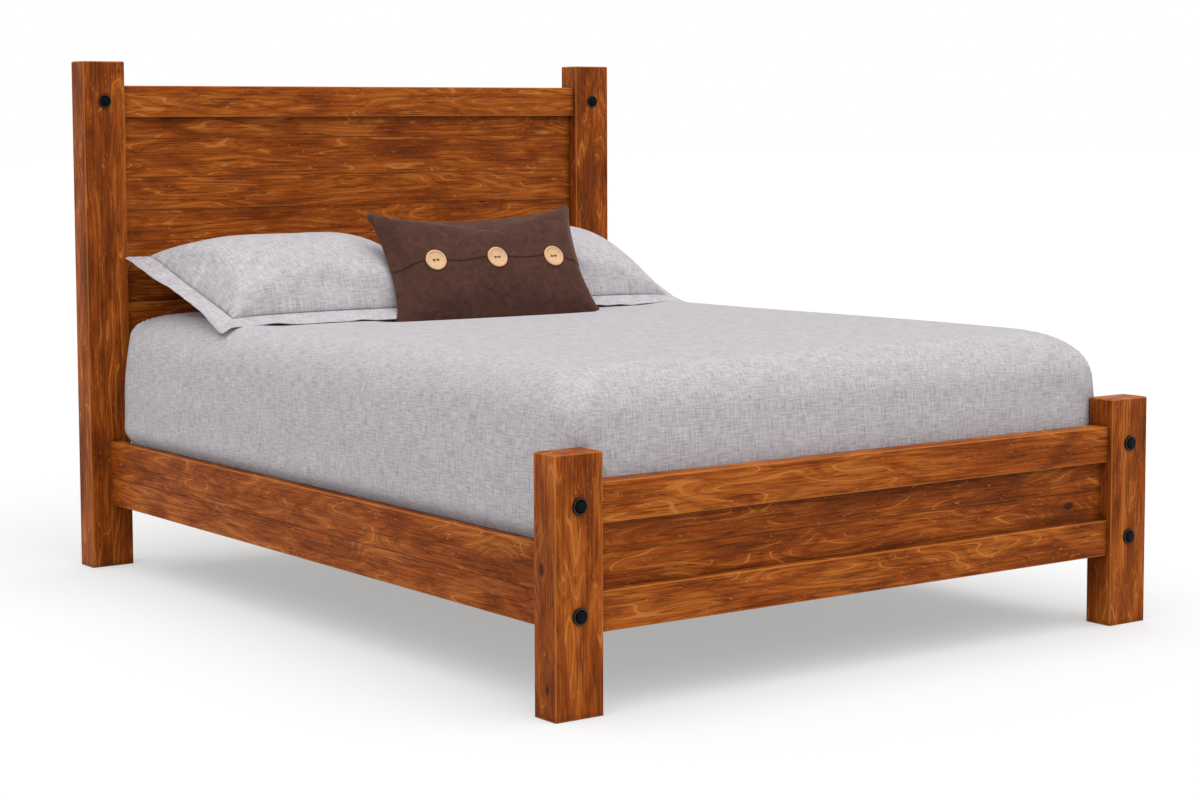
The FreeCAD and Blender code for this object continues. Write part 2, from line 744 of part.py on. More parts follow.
def make_leg_feet():
    """A tapered rubber foot under each leg."""
    body = new_body("row_of_feet", y="last_leg_y - leg_run")
    section = new_sketch(body, "section", "XZ_Plane")
    draw_outline(section, (
        ("0", "0"),
        ("leg_foot_bottom_radius", "0"),
        ("leg_foot_top_radius", "leg_foot_height"),
        ("0", "leg_foot_height"),
    ))
    foot = add_turning(body, section, "foot")
    add_row(body, foot, "feet", "Y_Axis", "leg_run", "leg_count")
    return grouped("leg_feet", [body])


def make_base():
    return [
        make_ledger("ledger_left", -1),
        make_ledger("ledger_right", 1),
        *make_slats(),
        make_beam(),
        make_stirrup(),
        *make_legs(),
        make_leg_feet(),
    ]


# Foundation, mattress and coverlet

def make_foundation():
    """The covered foundation that lies on the slats and carries the mattress."""
    middle = "mattress_foot_y + mattress_length / 2"
    body = new_body("foundation", y=middle, z="foundation_rise")
    plan = new_sketch(body, "plan", "XY_Plane")
    low = ("-mattress_width / 2", "-mattress_length / 2")
    draw_rectangle(plan, low, ("mattress_width / 2", "mattress_length / 2"))
    blank = add_pad(body, plan, "blank", "foundation_height")
    ease_edges(body, blank, "Fillet", "corners", "mattress_end_radius", runs_along("z"))
    return body


def rounded_block(grow, floor):
    """The mattress's form, grown on every side, with its lower face at a given height.

    Its section square to Y has large upper corners, and both ends are rounded along
    their sides and top.
    """
    half = size.mattress_width / 2 + grow
    top = layout.mattress_rise + size.mattress_height + grow
    radius = size.mattress_top_radius + grow
    lean = radius * (1 - math.cos(math.pi / 4))
    foot = layout.mattress_foot_y - grow
    length = size.mattress_length + 2 * grow

    def corner(side):
        places = (half, top - radius), (half - lean, top - lean), (half - radius, top)
        return [FreeCAD.Vector(side * x, foot, z) for x, z in places]

    left, right = corner(-1), corner(1)
    low_left, low_right = FreeCAD.Vector(-half, foot, floor), FreeCAD.Vector(half, foot, floor)
    section = Part.Wire([
        Part.makeLine(low_left, left[0]),
        Part.Arc(*left).toShape(),
        Part.makeLine(left[2], right[2]),
        Part.Arc(*reversed(right)).toShape(),
        Part.makeLine(right[0], low_right),
        Part.makeLine(low_right, low_left),
    ])
    block = Part.Face(section).extrude(FreeCAD.Vector(0, length, 0))
    ends = []
    for edge in block.Edges:
        box = edge.BoundBox
        if box.YLength < SAME_PLACE and box.ZMax > floor + SAME_PLACE:
            ends.append(edge)
    return block.makeFillet(size.mattress_end_radius + grow, ends)


def make_mattress():
    return placed_shape("mattress", rounded_block(0, layout.mattress_rise))


def make_coverlet():
    """The coverlet: drawn over the mattress, tucked in at the sides and the foot."""
    inside = rounded_block(size.soft_gap, layout.coverlet_hem - size.cut_overrun)
    cover = rounded_block(size.soft_gap + size.coverlet_thickness, layout.coverlet_hem).cut(inside)
    whole = cover.BoundBox
    corner = FreeCAD.Vector(
        whole.XMin - size.cut_overrun,
        layout.mattress_head_y - size.mattress_end_radius,
        layout.coverlet_hem - size.cut_overrun,
    )
    depth = size.mattress_end_radius + size.coverlet_thickness + size.cut_overrun
    height = layout.bed_top - size.coverlet_head_drop - corner.z
    below = Part.makeBox(whole.XLength + 2 * size.cut_overrun, depth, height, corner)
    return placed_shape("coverlet", cover.cut(below))


# Pillows, cushion and buttons

def pillow_body(length, depth, thickness, upper_share, edge, draw):
    """A filled form lying in its own frame, seam on the level plane, long side along X.

    Each section square to X is two crown arcs joined by the short sides of the seam. The
    long sides are drawn in at their middle.
    """
    sections = []
    for index in range(SECTION_COUNT):
        station = -math.cos(math.pi * index / (SECTION_COUNT - 1))
        crown = 1 - (1 - CROWN_END_SHARE) * abs(station) ** CROWN_POWER
        x = station * length / 2
        side = depth / 2 - draw * (1 - station * station)
        upper = (thickness * upper_share - edge / 2) * crown
        lower = (thickness * (1 - upper_share) - edge / 2) * crown
        front_up, front_low = FreeCAD.Vector(x, -side, edge / 2), FreeCAD.Vector(x, -side, -edge / 2)
        back_up, back_low = FreeCAD.Vector(x, side, edge / 2), FreeCAD.Vector(x, side, -edge / 2)
        sections.append(Part.Wire([
            Part.Arc(front_up, FreeCAD.Vector(x, 0, edge / 2 + upper), back_up).toShape(),
            Part.makeLine(back_up, back_low),
            Part.Arc(back_low, FreeCAD.Vector(x, 0, -edge / 2 - lower), front_low).toShape(),
            Part.makeLine(front_low, front_up),
        ]))
    return Part.makeLoft(sections, True, True)


def flange_sheet(length, depth, thickness, draw):
    """The flat border round a sham, its four sides drawn in."""
    half_length, half_depth = length / 2, depth / 2
    corners = [
        FreeCAD.Vector(-half_length, -half_depth), FreeCAD.Vector(half_length, -half_depth),
        FreeCAD.Vector(half_length, half_depth), FreeCAD.Vector(-half_length, half_depth),
    ]
    middles = [
        FreeCAD.Vector(0, draw - half_depth), FreeCAD.Vector(half_length - draw, 0),
        FreeCAD.Vector(0, half_depth - draw), FreeCAD.Vector(draw - half_length, 0),
    ]
    sides = []
    for index, middle in enumerate(middles):
        sides.append(Part.Arc(corners[index], middle, corners[(index + 1) % len(corners)]).toShape())
    face = Part.Face(Part.Wire(sides))
    face.translate(FreeCAD.Vector(0, 0, -thickness / 2))
    return face.extrude(FreeCAD.Vector(0, 0, thickness))


def crown_circle(depth, crown, edge):
    """Radius of a crown's arc over a seam, and the height of its centre over the seam."""
    rise = crown - edge / 2
    radius = (depth * depth / 4 + rise * rise) / (2 * rise)
    return radius, crown - radius


def seat_shift(shape, level):
    """How far up a shape moves for its lowest point to come to a level."""
    box = shape.BoundBox
    under = box.ZMin - box.DiagonalLength
    corner = FreeCAD.Vector(box.XMin, box.YMin, under)
    plane = Part.makePlane(box.XLength, box.YLength, corner)
    return level - under - shape.distToShape(plane)[0]


def placed_shape(label, shape):
    node = doc.addObject("Part::Feature", label)
    node.Label = label
    node.Shape = shape
    return node


def make_shams():
    """Two shams, laid sloping from the bed up to the headboard.

    Gives them with the centre and the radius of the arc of their filled crown.
    """
    body_depth = size.sham_depth - 2 * size.sham_flange
    body_length = layout.sham_length - 2 * size.sham_flange
    sheet = flange_sheet(layout.sham_length, size.sham_depth, size.flange_thickness, size.sham_draw)
    filled = pillow_body(
        body_length, body_depth, size.sham_thickness, SHAM_UPPER_SHARE, size.sham_edge, size.sham_draw,
    )
    sham = filled.fuse(sheet)
    slope = FreeCAD.Rotation(FreeCAD.Vector(1, 0, 0), size.sham_tilt)
    reach = size.sham_depth / 2 * math.cos(math.radians(size.sham_tilt))
    middle = layout.head_panel_front_y - size.sham_headboard_gap - reach
    sham.Placement = FreeCAD.Placement(FreeCAD.Vector(0, middle, 0), slope)
    rise = seat_shift(sham, layout.bed_top + size.soft_gap)
    spread = (layout.sham_length + size.sham_middle_gap) / 2
    nodes = []
    for name, side in (("left", -1), ("right", 1)):
        copy = sham.copy()
        copy.Placement = FreeCAD.Placement(FreeCAD.Vector(side * spread, middle, rise), slope)
        nodes.append(placed_shape(f"sham_{name}", copy))
    crown = size.sham_thickness * SHAM_UPPER_SHARE
    radius, height = crown_circle(body_depth - 2 * size.sham_draw, crown, size.sham_edge)
    centre = FreeCAD.Vector(0, middle, rise) + slope.multVec(FreeCAD.Vector(0, 0, height))
    return nodes, centre, radius


def make_cushion(sham_centre, sham_radius):
    """The lumbar cushion, its lower edge on the bed and its back against the shams' crowns."""
    cushion = pillow_body(
        size.cushion_length, size.cushion_depth, size.cushion_thickness,
        CUSHION_UPPER_SHARE, size.cushion_edge, size.cushion_draw,
    )
    buttons = make_buttons(cushion)
    slope = FreeCAD.Rotation(FreeCAD.Vector(1, 0, 0), size.cushion_tilt)
    cushion.Placement = FreeCAD.Placement(FreeCAD.Vector(), slope)
    rise = seat_shift(cushion, layout.bed_top + size.soft_gap)
    back_crown = size.cushion_thickness * (1 - CUSHION_UPPER_SHARE)
    radius, height = crown_circle(size.cushion_depth - 2 * size.cushion_draw, back_crown, size.cushion_edge)
    back_centre = FreeCAD.Vector(0, 0, rise) + slope.multVec(FreeCAD.Vector(0, 0, -height))
    apart = sham_radius + radius + size.cushion_sham_gap
    climb = sham_centre.z - back_centre.z
    place = sham_centre.y - math.sqrt(apart * apart - climb * climb) - back_centre.y
    turn = FreeCAD.Rotation(FreeCAD.Vector(0, 0, 1), -size.cushion_turn)
    pose = FreeCAD.Placement(FreeCAD.Vector(size.cushion_offset, place, rise), turn.multiply(slope))
    cushion.Placement = pose
    buttons.Placement = pose
    return [placed_shape("lumbar_cushion", cushion), placed_shape("cushion_buttons", buttons)]


def make_button():
    """A two-holed wooden button with a raised rim, lying on its own level plane."""
    body = new_body("button")
    section = new_sketch(body, "section", "XZ_Plane")
    draw_outline(section, (
        ("0", "0"), ("button_radius", "0"), ("button_radius", "button_height"),
        ("button_radius - button_rim", "button_height"),
        ("button_radius - button_rim - button_dish", "button_height - button_dish"),
        ("0", "button_height - button_dish"),
    ))
    add_turning(body, section, "disc")
    holes = new_sketch(body, "holes_outline", "XY_Plane")
    for side in (-1, 1):
        draw_circle(holes, (f"{side} * button_hole_pitch / 2", "0"), "button_hole_radius")
    add_pocket(body, holes, "holes", "button_height", reverse=True)
    doc.recompute()
    return body


def surface_height(shape, x, y):
    """Height of a lying pillow's upper face over one point of its seam's plane."""
    top = FreeCAD.Vector(x, y, shape.BoundBox.DiagonalLength)
    line = Part.makeLine(FreeCAD.Vector(x, y, 0), top).common(shape)
    return max(vertex.Z for vertex in line.Vertexes)


def make_buttons(cushion):
    """Three buttons in a row on the lying cushion, each square to the cloth under it."""
    master = make_button()
    buttons = []
    for index in range(int(size.button_count)):
        x = (index - (size.button_count - 1) / 2) * size.button_pitch + size.button_shift
        y = size.button_rise
        span = size.button_radius
        slope_x = surface_height(cushion, x + span, y) - surface_height(cushion, x - span, y)
        slope_y = surface_height(cushion, x, y + span) - surface_height(cushion, x, y - span)
        normal = FreeCAD.Vector(-slope_x, -slope_y, 2 * span).normalize()
        foot = FreeCAD.Vector(x, y, surface_height(cushion, x, y)) + normal * size.button_gap
        button = master.Shape.copy()
        button.Placement = FreeCAD.Placement(foot, FreeCAD.Rotation(FreeCAD.Vector(0, 0, 1), normal))
        buttons.append(button)
    return Part.makeCompound(buttons)


# Checks before anything is written

def check_document():
    for item in doc.Objects:
        if {"Invalid", "Error"} & set(item.State):
            raise RuntimeError(f"{item.Label} failed: {item.State}")


def check_cuts():
    """Every pocket must take something away."""
    for item in doc.Objects:
        if item.TypeId == "PartDesign::Pocket":
            removed = item.BaseFeature.Shape.Volume - item.Shape.Volume
            if removed <= 0:
                raise RuntimeError(f"{item.Label} cuts nothing")


def check_nodes(nodes):
    for node in nodes:
        if node.Shape.isNull() or not node.Shape.isValid():
            raise RuntimeError(f"{node.Label} has no valid shape")


def write_nodes(nodes):
    os.makedirs("parts", exist_ok=True)
    for node in nodes:
        node.Shape.exportStep(f"parts/{node.Label}.step")
    print(len(nodes), "nodes written")


# The bed

doc = FreeCAD.newDocument("timber_bed")
size = make_sheet()
layout = make_layout()
nodes = [*make_posts(), *make_ends(), *make_bolts(), *make_sides(), *make_base()]
nodes += [make_foundation(), make_mattress(), make_coverlet()]
shams, crown_centre, crown_radius = make_shams()
nodes += [*shams, *make_cushion(crown_centre, crown_radius)]
doc.recompute()
check_document()
check_cuts()
check_nodes(nodes)
write_nodes(nodes)
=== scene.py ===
"""A plank bed in stained knotty pine, made up with a coverlet, two shams and a cushion.

Metres throughout: X runs across the bed, Y from the foot to the head, Z up from the floor.
"""

import logging
import math
from dataclasses import dataclass, field
from enum import Enum
from functools import partial

import bmesh
import bpy
from mathutils import Euler, Matrix, Vector, noise
from mathutils.bvhtree import BVHTree


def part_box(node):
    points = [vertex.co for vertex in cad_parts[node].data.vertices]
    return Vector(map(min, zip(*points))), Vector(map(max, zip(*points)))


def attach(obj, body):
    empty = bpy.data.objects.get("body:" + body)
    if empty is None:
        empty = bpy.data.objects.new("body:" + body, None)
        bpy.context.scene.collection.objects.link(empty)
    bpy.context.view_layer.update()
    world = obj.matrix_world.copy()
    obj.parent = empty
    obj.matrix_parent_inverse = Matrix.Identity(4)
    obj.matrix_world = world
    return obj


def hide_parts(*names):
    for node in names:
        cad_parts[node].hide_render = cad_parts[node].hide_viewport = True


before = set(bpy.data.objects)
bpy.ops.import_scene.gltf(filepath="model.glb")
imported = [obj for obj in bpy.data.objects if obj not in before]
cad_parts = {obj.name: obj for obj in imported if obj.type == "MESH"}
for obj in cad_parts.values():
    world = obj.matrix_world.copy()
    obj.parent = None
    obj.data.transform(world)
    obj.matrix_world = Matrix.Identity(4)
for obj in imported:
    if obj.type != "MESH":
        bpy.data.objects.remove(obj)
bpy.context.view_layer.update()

log = logging.getLogger("bed")

BODY = "root"
PANEL = "panel"         # vertex attribute: place on a sewn panel, and the side of the seam
WEAVE = "weave"         # UV map in metres of cloth


# Shared helpers

def linear(code: str) -> tuple[float, float, float, float]:
    """Turns an sRGB hex colour to linear light.

    Args:
        code: The colour as "#RRGGBB".

    Returns:
        Red, green, blue and an alpha of one.
    """
    parts = (int(code[i:i + 2], 16) / 255 for i in (1, 3, 5))
    return (*(c / 12.92 if c <= 0.04045 else ((c + 0.055) / 1.055) ** 2.4 for c in parts), 1.0)


def add_node(
    tree: bpy.types.NodeTree, kind: str, settings: dict | str | None = None, feeds: dict | tuple = (),
) -> bpy.types.Node:
    """Adds a shader node with its settings, values and links.

    Args:
        tree: The node tree it joins.
        kind: The node's type without its ShaderNode prefix.
        settings: Properties by name, or a sum's operation alone; "stops" gives a colour ramp
            its places and colours.
        feeds: Values, sockets or nodes, in order or by the input's name or number; a node
            gives its first output.

    Returns:
        The node.
    """
    node = tree.nodes.new("ShaderNode" + kind)
    if isinstance(settings, str):
        settings = {"operation": settings}
    for name, value in (settings or {}).items():
        if name == "stops":
            marks = node.color_ramp.elements
            for index, (place, code) in enumerate(value):
                mark = marks[index] if index < len(marks) else marks.new(place)
                mark.position, mark.color = place, linear(code)
        else:
            setattr(node, name, value)
    for socket, value in feeds.items() if isinstance(feeds, dict) else enumerate(feeds):
        if isinstance(value, bpy.types.Node):
            value = value.outputs[0]
        if isinstance(value, bpy.types.NodeSocket):
            tree.links.new(value, node.inputs[socket])
        else:
            node.inputs[socket].default_value = value
    return node


def new_finish(name: str, constants: dict) -> tuple[bpy.types.Material, bpy.types.Node]:
    """Starts a material with one Principled shader.

    Args:
        name: The finish's name.
        constants: The shader's own values by socket name.

    Returns:
        The material and its shader node.
    """
    material = bpy.data.materials.new(name)
    material.use_nodes = True
    tree = material.node_tree
    tree.nodes.clear()
    shader = add_node(tree, "BsdfPrincipled", None, constants)
    add_node(tree, "OutputMaterial", None, {"Surface": shader})
    return material, shader


def surface(
    material: bpy.types.Material, shader: bpy.types.Node, colour: bpy.types.NodeSocket,
    relief: bpy.types.Node, strength: float, depth: float, gloss: bpy.types.Node | None = None,
) -> bpy.types.Material:
    """Gives a finish its colour, relief and roughness.

    Args:
        material: The finish.
        shader: Its Principled shader.
        colour: The socket that gives the colour.
        relief: The node whose first output is the height.
        strength: How much the relief turns the light.
        depth: The relief's height in metres.
        gloss: The node whose first output is the roughness, if it varies.

    Returns:
        The finished material.
    """
    tree = material.node_tree
    tree.links.new(colour, shader.inputs["Base Color"])
    if gloss:
        tree.links.new(gloss.outputs[0], shader.inputs["Roughness"])
    bump = add_node(tree, "Bump", None, {"Height": relief, "Strength": strength, "Distance": depth})
    tree.links.new(bump.outputs[0], shader.inputs["Normal"])
    return material


def wear(piece: bpy.types.Object, *finishes: "Linen | Suede | Metal | Upholstery | TurnedWood") -> None:
    """Gives a new piece its finishes; pieces of one finish share its material.

    Args:
        piece: The piece.
        finishes: What it wears, in the order of its faces' material numbers.
    """
    for finish in finishes:
        made = bpy.data.materials.get(finish.name)
        piece.data.materials.append(made or finish.material())


def link_piece(name: str, mesh: bpy.types.Mesh | bmesh.types.BMesh, smooth: bool = True) -> bpy.types.Object:
    """Makes an object at the origin from a mesh or a bmesh.

    Args:
        name: The piece's name.
        mesh: Its shape; a bmesh is freed.
        smooth: Whether its faces are shaded smooth.

    Returns:
        The new object, linked to the scene.
    """
    if isinstance(mesh, bmesh.types.BMesh):
        data = bpy.data.meshes.new(name)
        mesh.to_mesh(data)
        mesh.free()
    else:
        data = mesh
        data.name = name
    data.polygons.foreach_set("use_smooth", [smooth] * len(data.polygons))
    piece = bpy.data.objects.new(name, data)
    bpy.context.scene.collection.objects.link(piece)
    return piece


def settle(piece: bpy.types.Object, slot: str, *nodes: str) -> None:
    """Rides a piece on the bed and stands it for its CAD nodes.

    Args:
        piece: The piece.
        slot: The name of its paint slot; not used.
        nodes: The CAD nodes that it stands for, if any.
    """
    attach(piece, BODY)
    if nodes:
        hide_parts(*nodes)
    log.info("%s: %d faces", piece.name, len(piece.data.polygons))


def only(parts: list, kind: type) -> list:
    """Picks the vertices, edges or faces from what a mesh operator made."""
    return [part for part in parts if isinstance(part, kind)]


def bounding(members: list, kind: str) -> list:
    """Lists what bounds or joins some parts of a mesh, each once and in the same order each run.

    Args:
        members: Vertices, edges or faces.
        kind: The name of what to list, such as "verts" or "link_edges".

    Returns:
        The vertices or edges.
    """
    return list(dict.fromkeys(part for member in members for part in getattr(member, kind)))


def applied(piece: bpy.types.Object) -> bpy.types.Object:
    """Applies a piece's modifiers to its mesh.

    Args:
        piece: The piece.

    Returns:
        The same piece, without modifiers.
    """
    graph = bpy.context.evaluated_depsgraph_get()
    made = bpy.data.meshes.new_from_object(piece.evaluated_get(graph), depsgraph=graph)
    made.name = piece.data.name
    piece.modifiers.clear()
    if piece.data.shape_keys:
        piece.shape_key_clear()
    piece.data = made
    return piece


def ease(value: float, low: float, high: float) -> float:
    """Gives 0 below low, 1 above high and a smooth step between them."""
    part = min(1.0, max(0.0, (value - low) / (high - low)))
    return part * part * (3 - 2 * part)


def ripple(place: Vector, pitch: float, seed: float) -> float:
    """Gives smooth noise between -1 and 1.

    Args:
        place: Where, in metres.
        pitch: The usual distance between two crests, in metres.
        seed: Moves the pattern elsewhere.

    Returns:
        The noise's value there.
    """
    return noise.noise(place / pitch + Vector((seed, seed * 1.7, -seed)))


# Finishes

class Grain(Enum):
    """How a board's grain lies: the axes that run along it, across it and through it."""

    ACROSS_BED = (0, 2, 1)
    ALONG_BED = (1, 2, 0)
    UPRIGHT = (2, 0, 1)


@dataclass(frozen=True)
class Blotches:
    """Cloudy noise drawn out along a board's grain."""

    along: float            # blotches to a metre of the board's length
    across: float           # blotches to a metre of its width
    detail: float
    roughness: float
    bend: float = 0.0

    def lay(self, tree: bpy.types.NodeTree, place: bpy.types.Node) -> bpy.types.Node:
        """Adds the noise on a place whose X runs along the grain."""
        drawn = add_node(
            tree, "Mapping", None, {"Vector": place, "Scale": (self.along, self.across, self.across)},
        )
        return add_node(
            tree, "TexNoise", None,
            {"Vector": drawn, "Scale": 1.0, "Detail": self.detail, "Roughness": self.roughness,
             "Distortion": self.bend},
        )


@dataclass(frozen=True)
class Pine:
    """Softwood boards with drawn-out rings, knots and fibres.

    Stained, it shows red-brown colour laid on unevenly, darker stain in the knots and rings, pale marks of
    hand planing and paler arrises that are partly painted highlight, painted shade in seams and inner
    corners and a satin lacquer; plain, it is pale and dry.
    """

    name: str
    tones: tuple[tuple[float, str], ...]
    ring_colour: str
    ring_share: float
    pale_mark_and_highlight_colour: str
    pale_mark_and_highlight_share: float
    knot_colour: str
    arris_wear_and_highlight_colour: str
    arris_wear_and_highlight_share: float
    roughness: float
    gloss: float            # of the shader's specular level
    painted_shade_share: float = 0.0        # of painted shade: dark colour in seams and inner corners, where shade falls
    painted_shade_reach: float = 0.024
    bump: float = 0.35
    relief: float = 0.0012
    ring_count: float = 92.0        # radians over the figure's range: rings 8 to 15 mm apart
    knot_spacing: float = 0.17
    knot_stretch: tuple[float, float] = (0.62, 1.1)     # along and across the grain
    knot_bend: float = 0.16         # how far a knot pushes the rings aside
    seed_steps: tuple[float, float, float] = (1.31, 0.77, 0.53)
    glue_shift: float = 3.7         # along the grain, from one glued board to the other
    cloud: Blotches = Blotches(1.5, 10.0, 2.0, 0.45)    # its contour lines are the year rings
    fibre: Blotches = Blotches(5.0, 340.0, 4.0, 0.72)   # 3 by 200 mm, coarser than real to show
    checks: Blotches = Blotches(11.0, 260.0, 2.0, 0.5, 0.9)     # small cracks, 4 by 90 mm
    stain: Blotches = Blotches(4.5, 18.0, 4.0, 0.58, 0.6)       # patches of 55 by 220 mm
    planing: Blotches = Blotches(22.0, 110.0, 2.0, 0.55, 2.4)   # 9 by 45 mm, its crests 2 to 3 mm
    fibre_share: float = 0.85
    tone_middle: float = 0.425
    bounce_grey: str = "#6A625E"    # what cloth beside the timber takes up of its warm light
    bounce_share: float = 0.6

    def board(
        self, piece: bpy.types.Object, grain: Grain, seed: float, glue_line: float | None = None,
        shade: float = 0.0,
    ) -> bpy.types.Material:
        """Makes the finish of one board.

        Args:
            piece: The board, whose box centres the pattern.
            grain: How its grain lies.
            seed: Moves the pattern, so that no two boards match.
            glue_line: The height of a joint between two glued boards, if it has one.
            shade: How much paler than the others the board is painted, as painted light and shade.

        Returns:
            The material.
        """
        material, shader = new_finish(
            f"{self.name}_{piece.name}", {"Specular IOR Level": self.gloss, "IOR": 1.5},
        )
        tree = material.node_tree
        add = partial(add_node, tree)
        low, high = Vector(piece.bound_box[0]), Vector(piece.bound_box[6])
        middle, half = (low + high) / 2, (high - low) / 2
        place = add("TexCoord").outputs["Object"]
        parts = add("SeparateXYZ", None, (add("Mapping", None, {"Vector": place, "Location": -middle}),))
        along, across, through = (parts.outputs[axis] for axis in grain.value)
        layers = []
        if glue_line is not None:
            level = glue_line - middle.z
            upper = add("Math", "GREATER_THAN", (parts.outputs[2], level))
            along = add("Math", "MULTIPLY_ADD", (upper, self.glue_shift, along))
            away = add("Math", "ABSOLUTE", (add("Math", "SUBTRACT", (parts.outputs[2], level)),))
            seam = add(
                "MapRange", None,
                {"Value": away, "From Min": 0.0004, "From Max": 0.0018, "To Min": 1.0, "To Max": 0.0},
            )
            layers.append((seam, 0.75, self.knot_colour))
        turned = add("CombineXYZ", None, (along, across, through))
        lay = add(
            "Mapping", None, {"Vector": turned, "Location": [seed * step for step in self.seed_steps]},
        )
        # Paler arrises: partly wear, partly painted highlight.
        if self.arris_wear_and_highlight_share:
            layers.insert(0, (self._arris(tree, parts, half), self.arris_wear_and_highlight_share, self.arris_wear_and_highlight_colour))

        swirl = self._knots(tree, lay)
        cloud, fibre, checks, stain, planing = (
            blotches.lay(tree, lay)
            for blotches in (self.cloud, self.fibre, self.checks, self.stain, self.planing)
        )
        bent = add("Math", "MULTIPLY_ADD", (swirl, self.knot_bend, cloud))
        wave = add("Math", "SINE", (add("Math", "MULTIPLY", (bent, self.ring_count)),))
        ring, crest, thin, pores, planing_and_highlight, eye = (
            add(
                "MapRange", {"interpolation_type": "SMOOTHSTEP"},
                {"Value": source, "From Min": start, "From Max": end},
            )
            for source, start, end in (
                (wave, 0.55, 1.0), (wave, -0.91, -0.99), (stain, 0.46, 0.56), (checks, 0.555, 0.64),
                (planing, 0.66, 0.70), (swirl, 0.93, 0.97),
            )
        )
        # Pale early wood shows along the rings only where the stain is thin; these pale broken curves, like
        # the pale planing marks, are partly painted highlight on the grain's cracks.
        bright = add("Math", "MULTIPLY", (crest, thin))
        tone = add("Math", "MULTIPLY_ADD", (fibre, self.fibre_share, stain))
        # Painted light and shade: a board's whole tone moves by how much paler it is painted.
        tone = add("Math", "SUBTRACT", (tone, self.tone_middle - shade))
        layers = [
            (ring, self.ring_share, self.ring_colour),
            (pores, self.ring_share * 1.5, self.knot_colour),
            # Pale marks: early wood and planing, partly painted highlight.
            (bright, self.pale_mark_and_highlight_share, self.pale_mark_and_highlight_colour),
            (planing_and_highlight, self.pale_mark_and_highlight_share, self.pale_mark_and_highlight_colour),
            (swirl, 0.30, self.ring_colour),
            (eye, 0.9, self.knot_colour),
            *layers,
        ]
        # Painted shade: ambient occlusion darkens seams, recesses and inner corners towards the knot colour.
        if self.painted_shade_share:
            shut = add("AmbientOcclusion", {"samples": 8}, {"Distance": self.painted_shade_reach})
            painted_shade = add("MapRange", None, {"Value": shut.outputs["AO"], "From Min": 0.92, "From Max": 0.35})
            layers.append((painted_shade, self.painted_shade_share, self.knot_colour))
        bounced = add("LightPath").outputs["Is Diffuse Ray"]
        layers.append((bounced, self.bounce_share, self.bounce_grey))
        colour = add("ValToRGB", {"stops": self.tones}, (tone,)).outputs[0]
        for mask, share, code in layers:
            amount = add("Math", "MULTIPLY", (mask, share))
            mixed = add("Mix", {"data_type": "RGBA"}, {0: amount, 6: colour, 7: linear(code)})
            colour = mixed.outputs[2]

        gloss = add(
            "MapRange", None,
            {"Value": stain, "From Min": 0.3, "From Max": 0.7, "To Min": self.roughness + 0.12,
             "To Max": self.roughness - 0.06},
        )
        grooves = add("Math", "MULTIPLY_ADD", (ring, -0.35, fibre))
        relief = add("Math", "MULTIPLY_ADD", (planing_and_highlight, 0.5, grooves))
        return surface(material, shader, colour, relief, self.bump, self.relief, gloss)

    def _knots(self, tree: bpy.types.NodeTree, lay: bpy.types.Node) -> bpy.types.Node:
        """Scatters knots 15 to 25 mm across, a hand's width or more apart.

        Args:
            tree: The board's node tree.
            lay: The place whose X runs along the grain.

        Returns:
            A node that gives 1 in the middle of a knot, falling to 0 where it no longer
            bends the rings.
        """
        add = partial(add_node, tree)
        long, wide = (stretch / self.knot_spacing for stretch in self.knot_stretch)
        spread = add("Mapping", None, {"Vector": lay, "Scale": (long, wide, wide)})
        cells = add("TexVoronoi", {"feature": "F1"}, {"Vector": spread, "Scale": 1.0})
        chance = add("SeparateColor", None, (cells.outputs["Color"],))
        chosen = add("Math", "GREATER_THAN", (chance, 0.5))
        near = add(
            "MapRange", {"interpolation_type": "SMOOTHSTEP"},
            {"Value": cells.outputs["Distance"], "From Min": 0.42, "From Max": 0.0},
        )
        return add("Math", "MULTIPLY", (near, chosen))

    @staticmethod
    def _arris(tree: bpy.types.NodeTree, parts: bpy.types.Node, half: Vector) -> bpy.types.Node:
        """Masks the arrises of a squared board, painted paler: partly worn, partly painted highlight.

        Args:
            tree: The board's node tree.
            parts: The separated place from the board's middle.
            half: Half the board's size.

        Returns:
            A node that gives 1 on an arris and 0 a few millimetres from it.
        """
        add = partial(add_node, tree)
        gaps = [
            add("Math", "SUBTRACT", (half[axis], add("Math", "ABSOLUTE", (parts.outputs[axis],))))
            for axis in range(3)
        ]
        least, most = (add("Math", pick, (gaps[0], gaps[1])) for pick in ("MINIMUM", "MAXIMUM"))
        other = add("Math", "MINIMUM", (most, gaps[2]))
        second = add("Math", "MAXIMUM", (least, other))
        return add(
            "MapRange", {"interpolation_type": "SMOOTHSTEP"},
            {"Value": second, "From Min": 0.0036, "From Max": 0.0012},
        )


STAINED_PINE = Pine(
    name="stained_knotty_pine",
    tones=((0.26, "#70350E"), (0.42, "#944616"), (0.55, "#B3591A"), (0.72, "#C86F28")),
    ring_colour="#6A2E0C", ring_share=0.36,
    pale_mark_and_highlight_colour="#E08C3E", pale_mark_and_highlight_share=0.66,
    knot_colour="#3E1C09",
    arris_wear_and_highlight_colour="#DA8C40", arris_wear_and_highlight_share=0.55,
    roughness=0.50, gloss=0.09, painted_shade_share=0.62,
)
PLAIN_PINE = Pine(
    name="planed_pine",
    tones=((0.30, "#C79C62"), (0.45, "#D6B079"), (0.60, "#E0BE8B"), (0.75, "#E8CB9E")),
    ring_colour="#B98A50", ring_share=0.5,
    pale_mark_and_highlight_colour="#E8CFA4", pale_mark_and_highlight_share=0.2,
    knot_colour="#6E4522",
    arris_wear_and_highlight_colour="#E0BE8B", arris_wear_and_highlight_share=0.0,
    roughness=0.62, gloss=0.3, bump=0.2,
)


